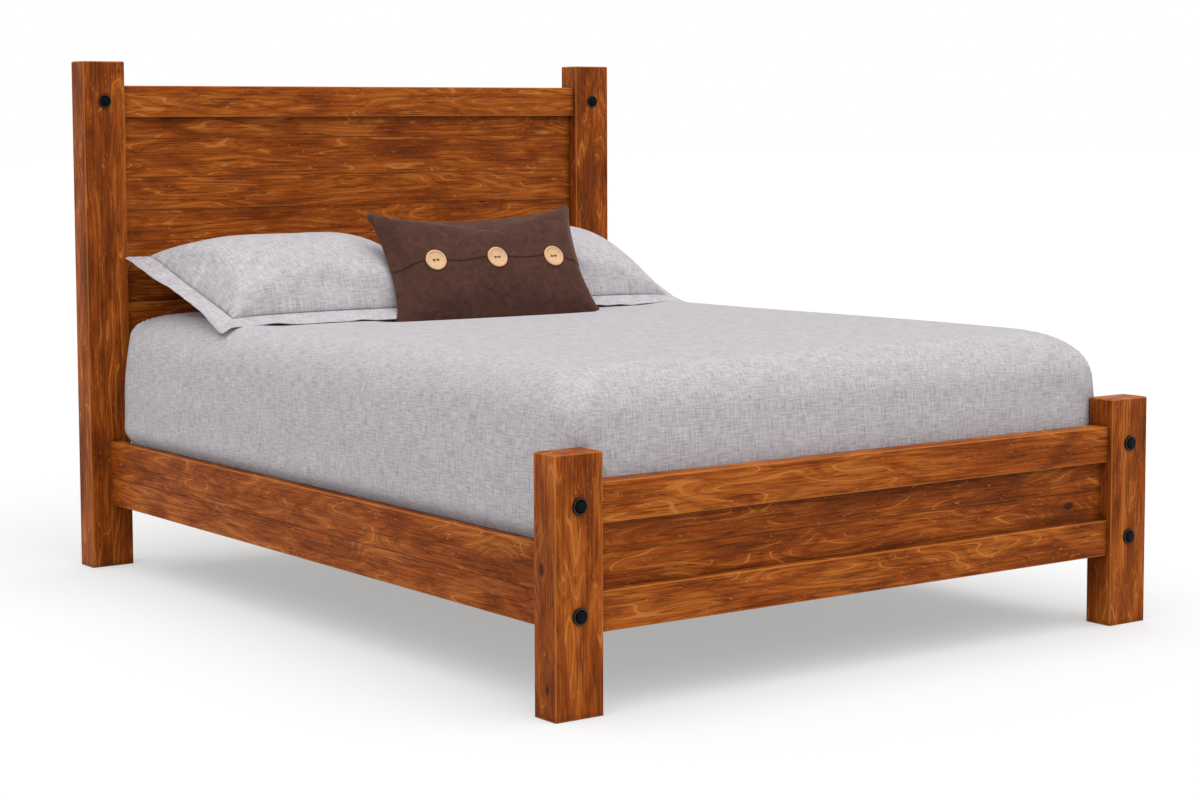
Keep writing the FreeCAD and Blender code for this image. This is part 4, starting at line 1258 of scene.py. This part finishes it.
def tube_round(low: Vector, high: Vector, level: float, corner: float, radius: float) -> bpy.types.Mesh:
    """Runs a round tape along the sides of a block, half sunk in its border.

    Args:
        low: The block's lowest corner.
        high: The block's highest corner.
        level: The tape's height.
        corner: The block's corner radius.
        radius: The tape's radius.

    Returns:
        A closed tube as a mesh.
    """
    sink = radius * 0.9
    bm = bmesh.new()
    start = Vector((low.x + corner, low.y + sink, level))
    turn = bmesh.ops.create_circle(
        bm, segments=10, radius=radius,
        matrix=Matrix.Translation(start) @ Matrix.Rotation(math.pi / 2, 4, "Y"),
    )["verts"]
    edges = bounding(turn, "link_edges")
    arc = corner - sink
    corners = (
        (Vector((high.x - corner, low.y + corner, level)), Vector((high.x - low.x - 2 * corner, 0, 0))),
        (Vector((high.x - corner, high.y - corner, level)), Vector((0, high.y - low.y - 2 * corner, 0))),
        (Vector((low.x + corner, high.y - corner, level)), Vector((low.x - high.x + 2 * corner, 0, 0))),
        (Vector((low.x + corner, low.y + corner, level)), Vector((0, low.y - high.y + 2 * corner, 0))),
    )
    for centre, run in corners:
        made = bmesh.ops.extrude_edge_only(bm, edges=edges)["geom"]
        verts = only(made, bmesh.types.BMVert)
        bmesh.ops.translate(bm, verts=verts, vec=run)
        edges = only(made, bmesh.types.BMEdge)
        turned = bmesh.ops.spin(
            bm, geom=verts + edges, cent=centre, axis=(0, 0, 1), angle=math.pi / 2, steps=6,
        )["geom_last"]
        edges = only(turned, bmesh.types.BMEdge)
    bmesh.ops.remove_doubles(bm, verts=bm.verts, dist=arc * 1e-3)
    bmesh.ops.recalc_face_normals(bm, faces=bm.faces)
    mesh = bpy.data.meshes.new("tape")
    bm.to_mesh(mesh)
    bm.free()
    return mesh


# Shams, cushion and buttons

@dataclass(frozen=True)
class Stance:
    """Where a lying pillow's own frame stands on the bed."""

    middle: tuple[float, float, float]
    tilt: float             # degrees, the head side up
    turn: float = 0.0       # degrees, the right end nearer the foot

    def matrix(self) -> Matrix:
        """Gives the stance as a matrix."""
        turned = Matrix.Rotation(math.radians(-self.turn), 4, "Z")
        return Matrix.Translation(self.middle) @ turned @ Matrix.Rotation(math.radians(self.tilt), 4, "X")


@dataclass
class StuffedBag:
    """A bag sewn from two flat panels and stuffed until it is tight, lying in its own frame."""

    length: float
    depth: float
    upper: float
    lower: float
    draw: float
    columns: int
    rows: int
    seed: float
    cut_share: tuple[float, float] = (1.06, 1.12)   # flat panel over finished size
    pressure: float = 5.0
    frames: int = 20
    reach: float = 0.028        # most that the stuffing moves a point
    fullness: tuple[float, float] = (0.75, 0.85)    # less is blunter, at the short and the long sides
    side_draw: float = 0.7      # of the draw, at the two short sides
    lower_draw: float = 1.0     # of the draw, at the long side towards the foot
    ear: float = 0.0            # how far the corners are sewn off

    def sew(self) -> bpy.types.Object:
        """Sews and stuffs the bag.

        Returns:
            An object whose vertices keep their place on the panels.
        """
        bm = bmesh.new()
        bmesh.ops.create_grid(bm, x_segments=self.columns, y_segments=self.rows, size=1.0)
        panel = bm.verts.layers.float_vector.new(PANEL)
        for vertex in bm.verts:
            vertex[panel] = (vertex.co.x, vertex.co.y, 1.0)
        back = bmesh.ops.duplicate(bm, geom=[*bm.verts, *bm.edges, *bm.faces])["geom"]
        under = only(back, bmesh.types.BMVert)
        bmesh.ops.reverse_faces(bm, faces=only(back, bmesh.types.BMFace))
        for vertex in under:
            vertex[panel] = (vertex[panel][0], vertex[panel][1], -1.0)
        rim = []
        for vertex in bm.verts:
            sway, along, side = vertex[panel]
            if max(abs(sway), abs(along)) > 1 - 1e-5:
                vertex[panel] = (sway, along, 0.0)
                rim.append(vertex)
            vertex.co = self._start(*vertex[panel])
        bmesh.ops.remove_doubles(bm, verts=rim, dist=1e-6)
        bag = link_piece("bag", bm)
        self._stuff(bag)
        self._fit(bag)
        return bag

    def _start(self, sway: float, along: float, side: float) -> Vector:
        """Gives a point of the loosely filled bag.

        Args:
            sway: Place across the panel, from -1 to 1.
            along: Place along the panel, from -1 to 1.
            side: 1 on the upper panel, -1 on the lower one and 0 at the seam.

        Returns:
            The point in the bag's own frame.
        """
        corner = self.ear * ease(abs(sway) + abs(along), 1.84, 2.0)
        x = sway * (self.length / 2 - self.draw * self.side_draw * (1 - along * along) - corner)
        long_draw = self.draw * (self.lower_draw if along < 0 else 1.0)
        y = along * (self.depth / 2 - long_draw * (1 - sway * sway) - corner)
        fill = (1 - sway ** 4) ** self.fullness[0] * (1 - along * along) ** self.fullness[1]
        rise = self.upper if side > 0 else self.lower
        lump = 1 + 0.03 * ripple(Vector((x, y, side)), 0.16, self.seed)
        return Vector((x, y, side * rise * fill * lump))

    def _stuff(self, bag: bpy.types.Object) -> None:
        """Blows the bag up from its loose start; its panels keep the size they were cut to.

        Args:
            bag: The loosely filled bag, whose mesh is replaced.
        """
        start = [vertex.co.copy() for vertex in bag.data.vertices]
        panel = bag.data.attributes[PANEL].data
        bag.shape_key_add(name="loose")
        cut = bag.shape_key_add(name="cut")
        for index, point in enumerate(cut.data):
            sway, along, side = panel[index].vector
            flat = Vector((
                sway * self.length / 2 * self.cut_share[0], along * self.depth / 2 * self.cut_share[1], 0,
            ))
            point.co = flat + Vector((0, 0, side * 0.0004))
        cloth = bag.modifiers.new("stuffing", "CLOTH")
        rules = cloth.settings
        rules.quality, rules.mass, rules.air_damping = 5, 0.25, 2.0
        rules.tension_stiffness = rules.compression_stiffness = 25
        rules.shear_stiffness, rules.bending_stiffness = 8, 0.6
        rules.use_pressure, rules.uniform_pressure_force = True, self.pressure
        rules.effector_weights.gravity = 0
        rules.rest_shape_key = cut
        cloth.collision_settings.use_collision = False
        cloth.point_cache.frame_start, cloth.point_cache.frame_end = 1, self.frames
        scene = bpy.context.scene
        for number in range(1, self.frames + 1):
            scene.frame_set(number)
        applied(bag)
        for vertex, before in zip(bag.data.vertices, start):
            move = vertex.co - before
            if move.length > self.reach:
                vertex.co = before + move * (self.reach / move.length)
        scene.frame_set(1)

    def _fit(self, bag: bpy.types.Object) -> None:
        """Brings the stuffed bag to its finished sizes.

        Args:
            bag: The bag, whose vertices are moved.
        """
        verts = bag.data.vertices
        low = Vector([min(v.co[axis] for v in verts) for axis in range(3)])
        high = Vector([max(v.co[axis] for v in verts) for axis in range(3)])
        for vertex in verts:
            co = vertex.co
            co.x = (co.x - (low.x + high.x) / 2) * self.length / (high.x - low.x)
            co.y = (co.y - (low.y + high.y) / 2) * self.depth / (high.y - low.y)
            co.z *= self.upper / high.z if co.z > 0 else -self.lower / low.z


def lay_weave(bm: bmesh.types.BMesh, half: tuple[float, float]) -> None:
    """Gives a sewn piece its weave map from its vertices' places on the panels.

    Args:
        bm: The piece, with the panel layer.
        half: Half the panel's length and depth in metres.
    """
    panel = bm.verts.layers.float_vector[PANEL]
    sheet = bm.loops.layers.uv.new(WEAVE)
    for face in bm.faces:
        for loop in face.loops:
            sway, along, side = loop.vert[panel]
            sewn = abs(side) < 0.5
            loop[sheet].uv = loop.vert.co.xy if sewn else (sway * half[0], along * half[1])


@dataclass
class Sham:
    """A linen pillow sham with a flat sewn flange, laid sloping against the headboard."""

    side: str
    stance: Stance
    seed: float
    length: float = 0.752
    depth: float = 0.600
    flange: float = 0.049
    flange_thickness: float = 0.0032
    upper: float = 0.131
    lower: float = 0.058
    draw: float = 0.014
    flange_steps: int = 6
    wave: float = 0.006
    prop: float = 0.016         # how far the bag's upper corners are held up against the headboard
    sag: float = 0.60           # how far it follows the bed's rounded side down
    give: float = 0.15          # share of its depth in the cloth that is left
    bed: Coverlet = field(default_factory=Coverlet)

    def build(self) -> bpy.types.Object:
        """Sews the filled bag and its flange and lays them on the bed.

        Returns:
            The finished piece.
        """
        bag = StuffedBag(
            self.length - 2 * self.flange, self.depth - 2 * self.flange, self.upper, self.lower, self.draw,
            columns=60, rows=44, seed=self.seed, fullness=(0.74, 0.72),
        ).sew()
        bm = bmesh.new()
        bm.from_mesh(bag.data)
        bpy.data.objects.remove(bag)
        for vertex in bm.verts:
            end = ease(abs(vertex.co.x), self.length * 0.28, self.length * 0.46)
            vertex.co.z += self.prop * end * ease(vertex.co.y, 0.0, self.depth * 0.40)
        self._flange(bm)
        lay_weave(bm, (self.length / 2 - self.flange, self.depth / 2 - self.flange))
        bm.transform(self.stance.matrix())
        self._rest(bm)
        sham = link_piece(f"linen_sham_{self.side}", bm)
        wear(sham, LINEN)
        smooth = sham.modifiers.new("soft_cloth", "SUBSURF")
        smooth.levels = smooth.render_levels = 1
        settle(sham, "sham_linen", f"sham_{self.side}")
        return sham

    def _flange(self, bm: bmesh.types.BMesh) -> None:
        """Extrudes the flange outwards from the seam in steps and gives it two layers.

        Args:
            bm: The stuffed bag, which the flange joins.
        """
        panel = bm.verts.layers.float_vector[PANEL]
        seam = [edge for edge in bm.edges if all(abs(v[panel][2]) < 0.5 for v in edge.verts)]
        made = bmesh.ops.duplicate(bm, geom=bounding(seam, "verts") + seam)["geom"]
        verts = only(made, bmesh.types.BMVert)
        edges = only(made, bmesh.types.BMEdge)
        for vertex in verts:
            vertex.co = Vector((vertex.co.x * 0.992, vertex.co.y * 0.988, vertex.co.z))
        faces = []
        ring = {tuple(round(c, 5) for c in v[panel][:2]): v.co.copy() for v in verts}
        for step in range(1, self.flange_steps + 1):
            made = bmesh.ops.extrude_edge_only(bm, edges=edges)["geom"]
            verts = only(made, bmesh.types.BMVert)
            edges = only(made, bmesh.types.BMEdge)
            faces += only(made, bmesh.types.BMFace)
            share = step / self.flange_steps
            for vertex in verts:
                sway, along, _ = vertex[panel]
                inner = ring[tuple(round(c, 5) for c in (sway, along))]
                outer = Vector((
                    sway * (self.length / 2 - self.draw * (1 - along * along)),
                    along * (self.depth / 2 - self.draw * (1 - sway * sway)), 0,
                ))
                swell = 1.3 * ripple(outer, 0.13, self.seed) + 0.8 * ripple(outer, 0.05, self.seed + 4)
                lift = share * share * self.wave * swell
                vertex.co = inner.lerp(outer, share) + Vector((0, 0, lift))
        bmesh.ops.recalc_face_normals(bm, faces=faces)
        made = bmesh.ops.solidify(bm, geom=faces, thickness=self.flange_thickness)["geom"]
        shell = only(made, bmesh.types.BMFace) + faces
        bmesh.ops.recalc_face_normals(bm, faces=[face for face in shell if face.is_valid])

    def _rest(self, bm: bmesh.types.BMesh) -> None:
        """Lets the outer front corner sink with the bed's rounded edge, and the rest lie on the top.

        Args:
            bm: The sham in the bed's frame.
        """
        for vertex in bm.verts:
            level = self.bed.height(0.0, vertex.co.y)
            near = 1 - ease(vertex.co.z - level, 0.008, 0.055)
            sink = level - self.bed.height(abs(vertex.co.x), vertex.co.y)
            vertex.co.z -= max(0.0, sink) * near * self.sag
            floor = self.bed.height(vertex.co.x, vertex.co.y) + 0.001
            if vertex.co.z < floor:
                vertex.co.z = floor + self.give * (vertex.co.z - floor)


@dataclass
class LumbarCushion:
    """A brown cushion with an overlapping flap that three buttons hold down."""

    stance: Stance = Stance((0.083, 0.5500, 0.7985), 57.0, 6.0)
    length: float = 0.630
    depth: float = 0.356
    rise: float = 0.0655
    draw: float = 0.021
    columns: int = 64
    rows: int = 38
    flap_row: int = 18              # panel row that the flap's edge follows, from the lower seam
    flap_lift: float = 0.0022
    flap_thickness: float = 0.0016
    stitch_row: int = 22
    peak: float = 0.012             # how much higher the right upper corner stands
    button_xs: tuple[float, ...] = (-0.180, 0.002, 0.177)
    button_y: float = -0.010
    button_slots: dict[int, tuple[Vector, Vector]] = field(default_factory=dict)

    def build(self) -> bpy.types.Object:
        """Sews, stuffs and stands the cushion, and finds where its buttons sit.

        Returns:
            The finished piece.
        """
        bag = StuffedBag(
            self.length, self.depth, self.rise, self.rise, self.draw, columns=self.columns, rows=self.rows,
            seed=11.3, cut_share=(1.02, 1.05), reach=0.024, side_draw=1.2, ear=0.010, lower_draw=0.2,
        ).sew()
        bm = bmesh.new()
        bm.from_mesh(bag.data)
        bpy.data.objects.remove(bag)
        for vertex in bm.verts:
            rise = ease(vertex.co.x, -0.05, self.length / 2) * ease(vertex.co.y, 0.0, self.depth / 2)
            vertex.co.y += self.peak * rise
        self._flap(bm)
        lay_weave(bm, (self.length / 2, self.depth / 2))
        tree = BVHTree.FromBMesh(bm)
        pose = self.stance.matrix()
        for index, x in enumerate(self.button_xs, 1):
            spot, right, left, upper, lower = (
                tree.ray_cast(Vector((x + dx, self.button_y + dy, 1)), Vector((0, 0, -1)))[0]
                for dx, dy in ((0, 0), (0.02, 0), (-0.02, 0), (0, 0.02), (0, -0.02))
            )
            square = (right - left).cross(upper - lower).normalized()
            self.button_slots[index] = (pose @ spot, pose.to_3x3() @ square)
        bm.transform(pose)
        cushion = link_piece("suede_cushion", bm)
        wear(cushion, SUEDE)
        smooth = cushion.modifiers.new("soft_cloth", "SUBSURF")
        smooth.levels = smooth.render_levels = 1
        settle(cushion, "brown_suede", "lumbar_cushion")
        return cushion

    def _flap(self, bm: bmesh.types.BMesh) -> None:
        """Lays a second layer of cloth over the front, from the upper seam to the flap's edge.

        Args:
            bm: The stuffed bag, which the flap joins.
        """
        panel = bm.verts.layers.float_vector[PANEL]
        edge = -1 + 2 * self.flap_row / self.rows
        for vertex in bm.verts:
            sway, along, side = vertex[panel]
            if side > 0:
                bend = 0.005 * math.cos(3.3 * math.pi * sway + 0.5) + 0.002 * math.sin(7 * sway)
                bend -= 0.018 * max(0.0, abs(sway) - 0.55) / 0.45
                vertex.co.y += bend * math.exp(-(((along - edge) / 0.22) ** 2)) * (1 - sway ** 8)
        bm.normal_update()
        upper = [
            face for face in bm.faces
            if all(v[panel][2] >= 0 and v[panel][1] > edge - 1e-4 for v in face.verts)
            and any(v[panel][2] > 0.5 for v in face.verts)
        ]
        whole = bounding(upper, "verts") + bounding(upper, "edges") + upper
        made = bmesh.ops.duplicate(bm, geom=whole)["geom"]
        faces = only(made, bmesh.types.BMFace)
        verts = only(made, bmesh.types.BMVert)
        stitch = -1 + 2 * self.stitch_row / self.rows
        lifts = {}
        for vertex in verts:
            sway, along, _ = vertex[panel]
            lift = self.flap_lift * (1 if abs(along - stitch) > 1 / self.rows else 0.45)
            free = ease(1 - along, 0.0, 0.08) * ease(1 - abs(sway), 0.0, 0.03)
            lifts[vertex] = vertex.normal * (lift * free + 0.0003)
        for vertex, move in lifts.items():
            vertex.co += move
        bmesh.ops.solidify(bm, geom=faces, thickness=self.flap_thickness)
        bm.normal_update()


@dataclass
class WoodenButtons:
    """Three turned buttons with a raised rim and two holes, sewn on with thread."""

    slots: dict[int, tuple[Vector, Vector]]
    radius: float = 0.029
    height: float = 0.006
    rim: float = 0.0056
    dish: float = 0.0028
    hole_radius: float = 0.0034
    hole_pitch: float = 0.0125
    thread_radius: float = 0.0006
    lift: float = 0.0008            # of the button off the cloth, which its thread spans
    steps: int = 64

    def build(self) -> None:
        """Turns, drills and threads each button, and sits it on the cushion."""
        for index, (spot, square) in self.slots.items():
            button = self._turned(f"wooden_button_{index}")
            wear(button, TURNED_WOOD, THREAD)
            self._sew(button)
            across = Vector((1, 0, 0)) - square * square.x
            across.normalize()
            up = square.cross(across)
            pose = Matrix((across, up, square)).transposed().to_4x4()
            button.data.transform(Matrix.Translation(spot + square * self.lift) @ pose)
            settle(button, "pale_wood", "cushion_buttons")

    def _turned(self, name: str) -> bpy.types.Object:
        """Spins the button's section and drills its two holes.

        Args:
            name: The piece's name.

        Returns:
            The button, lying at the origin.
        """
        inner = self.radius - self.rim
        profile = (
            (0.0, 0.0), (self.radius - 0.003, 0.0), (self.radius, 0.0022), (self.radius, self.height * 0.75),
            (self.radius - 0.0014, self.height), (inner + 0.0012, self.height),
            (inner - 0.0006, self.height - self.dish), (0.0, self.height - self.dish * 1.1),
        )
        bm = bmesh.new()
        points = [bm.verts.new((radius, 0, level)) for radius, level in profile]
        edges = [bm.edges.new(pair) for pair in zip(points, points[1:])]
        bmesh.ops.spin(
            bm, geom=points + edges, cent=(0, 0, 0), axis=(0, 0, 1), angle=math.tau, steps=self.steps,
            use_merge=True,
        )
        bmesh.ops.remove_doubles(bm, verts=bm.verts, dist=1e-6)
        bmesh.ops.recalc_face_normals(bm, faces=bm.faces)
        button = link_piece(name, bm)
        drill = bmesh.new()
        for side in (-1, 1):
            bmesh.ops.create_cone(
                drill, cap_ends=True, segments=20, radius1=self.hole_radius, radius2=self.hole_radius,
                depth=4 * self.height, matrix=Matrix.Translation((side * self.hole_pitch / 2, 0, 0)),
            )
        bit = link_piece("drill", drill)
        cut = button.modifiers.new("holes", "BOOLEAN")
        cut.object, cut.operation, cut.solver = bit, "DIFFERENCE", "EXACT"
        eased = button.modifiers.new("eased_edges", "BEVEL")
        eased.width, eased.segments, eased.limit_method = 0.0005, 2, "ANGLE"
        eased.angle_limit = math.radians(32)
        applied(button)
        bpy.data.objects.remove(bit)
        return button

    def _sew(self, button: bpy.types.Object) -> None:
        """Adds two arched strands of thread from hole to hole.

        Args:
            button: The drilled button, which the strands join.
        """
        bm = bmesh.new()
        bm.from_mesh(button.data)
        first = len(bm.faces)
        face = self.height - self.dish
        for side in (-1, 1):
            start = Vector((self.hole_pitch / 2, side * self.thread_radius * 0.95, face - 0.003))
            ring = bmesh.ops.create_circle(
                bm, segments=8, radius=self.thread_radius, matrix=Matrix.Translation(start),
            )["verts"]
            edges = bounding(ring, "link_edges")
            arch = bmesh.ops.spin(
                bm, geom=ring + edges, cent=(0, start.y, start.z), axis=(0, -1, 0), angle=math.pi, steps=12,
            )["geom_last"]
            bmesh.ops.contextual_create(bm, geom=only(arch, bmesh.types.BMEdge))
        bm.faces.ensure_lookup_table()
        strands = bm.faces[first:]
        for vertex in bounding(strands, "verts"):
            over = vertex.co.z - face + 0.003
            vertex.co.z = face - 0.003 + over * 0.72
        for strand in strands:
            strand.material_index = 1
            strand.smooth = True
        bmesh.ops.recalc_face_normals(bm, faces=strands)
        bm.to_mesh(button.data)
        bm.free()


# Studio

@dataclass
class Studio:
    """A pale floor, soft light from above and a camera at the foot's left corner."""

    place: tuple[float, float, float] = (-3.6684, -5.1372, 1.2046)
    lens: float = 75.23
    shift: float = -0.06
    yaw: float = 0.6285
    pitch: float = 0.0843
    roll: float = 0.0032
    sky: float = 0.38
    sun_strength: float = 2.0
    sun_angle: float = 95.0         # degrees: a broad, soft source
    sun_tilt: float = 17.0          # degrees from straight above
    sun_turn: float = -20.0
    floor_grey: str = "#D2D2D2"
    floor_lift: float = 0.38        # own light of the floor, for the eye only

    def build(self) -> None:
        """Makes the floor, the lights and the camera."""
        self._floor()
        self._lights()
        self._camera()
        bpy.context.scene.view_settings.view_transform = "Standard"
        log.info("studio ready")

    def _floor(self) -> None:
        """Lays a plain floor that reads white where nothing shades it."""
        bm = bmesh.new()
        bmesh.ops.create_grid(bm, x_segments=1, y_segments=1, size=60.0)
        bmesh.ops.translate(bm, vec=(0, 0, -0.0005), verts=bm.verts)
        floor = link_piece("floor", bm, smooth=False)
        material, shader = new_finish(
            "matt_white_floor", {"Base Color": linear(self.floor_grey), "Roughness": 0.95,
                                 "Specular IOR Level": 0.1, "Emission Color": (1, 1, 1, 1)},
        )
        tree = material.node_tree
        lift = add_node(tree, "Math", "MULTIPLY", (self._seen(tree), self.floor_lift))
        tree.links.new(lift.outputs[0], shader.inputs["Emission Strength"])
        floor.data.materials.append(material)

    def _lights(self) -> None:
        """Sets a white sky that lights softly, and one broad sun from the upper left."""
        world = bpy.data.worlds.new("white_room")
        bpy.context.scene.world = world
        world.use_nodes = True
        tree = world.node_tree
        tree.nodes.clear()
        level = add_node(
            tree, "MapRange", None, {"Value": self._seen(tree), "To Min": self.sky, "To Max": 1.0},
        )
        light = add_node(tree, "Background", None, {"Color": (1, 1, 1, 1), "Strength": level})
        add_node(tree, "OutputWorld", None, {"Surface": light})
        sun = bpy.data.lights.new("broad_sun", "SUN")
        sun.energy, sun.angle = self.sun_strength, math.radians(self.sun_angle)
        lamp = bpy.data.objects.new("broad_sun", sun)
        lamp.rotation_euler = Euler((math.radians(self.sun_tilt), 0, math.radians(self.sun_turn)))
        bpy.context.scene.collection.objects.link(lamp)

    @staticmethod
    def _seen(tree: bpy.types.NodeTree) -> bpy.types.Node:
        """Adds a test for rays from the eye, straight, mirrored or let through.

        Args:
            tree: The node tree that it joins.

        Returns:
            The node that gives 1 on such a ray and 0 on every other.
        """
        path = add_node(tree, "LightPath")
        seen = path.outputs["Is Camera Ray"]
        for name in ("Is Glossy Ray", "Is Transmission Ray"):
            seen = add_node(tree, "Math", "MAXIMUM", (seen, path.outputs[name]))
        return seen

    def _camera(self) -> None:
        """Stands the camera to the left of the foot and aims it along its yaw, pitch and roll."""
        yaw, pitch, roll = self.yaw, self.pitch, self.roll
        ahead = Vector((math.sin(yaw) * math.cos(pitch), math.cos(yaw) * math.cos(pitch), -math.sin(pitch)))
        right = Vector((math.cos(yaw), -math.sin(yaw), 0))
        down = ahead.cross(right)
        side = right * math.cos(roll) + down * math.sin(roll)
        under = down * math.cos(roll) - right * math.sin(roll)
        data = bpy.data.cameras.new("camera")
        data.lens, data.shift_y, data.clip_end = self.lens, self.shift, 200
        camera = bpy.data.objects.new("camera", data)
        turned = Matrix((side, -under, -ahead)).transposed().to_4x4()
        camera.matrix_world = Matrix.Translation(self.place) @ turned
        bpy.context.scene.collection.objects.link(camera)
        bpy.context.scene.camera = camera


def main() -> None:
    """Builds the dressed bed from the frame outwards."""
    logging.basicConfig(level=logging.INFO, format="%(message)s")
    Studio().build()
    TimberFrame().dress()
    SlattedBase().dress()
    TenonBolts().build()
    QuiltedBlock(
        "ticking_foundation", "foundation", "ticking", TICKING, 0.9, plan_radius=0.062, top_radius=0.012,
        foot_radius=0.010, lines=(), line_depth=0.0, tape_radius=0.004,
    ).build()
    coverlet = Coverlet()
    QuiltedBlock(
        "sprung_mattress", "mattress", "mattress_knit", KNIT, 0.85, plan_radius=0.062, top_radius=0.055,
        foot_radius=0.020, lines=(0.30, 0.52), line_depth=0.004, tape_radius=0.005, under=coverlet,
    ).build()
    coverlet.build()
    for side, sign, seed in (("left", -1, 2.4), ("right", 1, 6.9)):
        Sham(side, Stance((sign * 0.374, 0.7770, 0.7535), 15.0), seed).build()
    cushion = LumbarCushion()
    cushion.build()
    WoodenButtons(cushion.button_slots).build()
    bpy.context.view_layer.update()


if __name__ == "__main__":
    main()
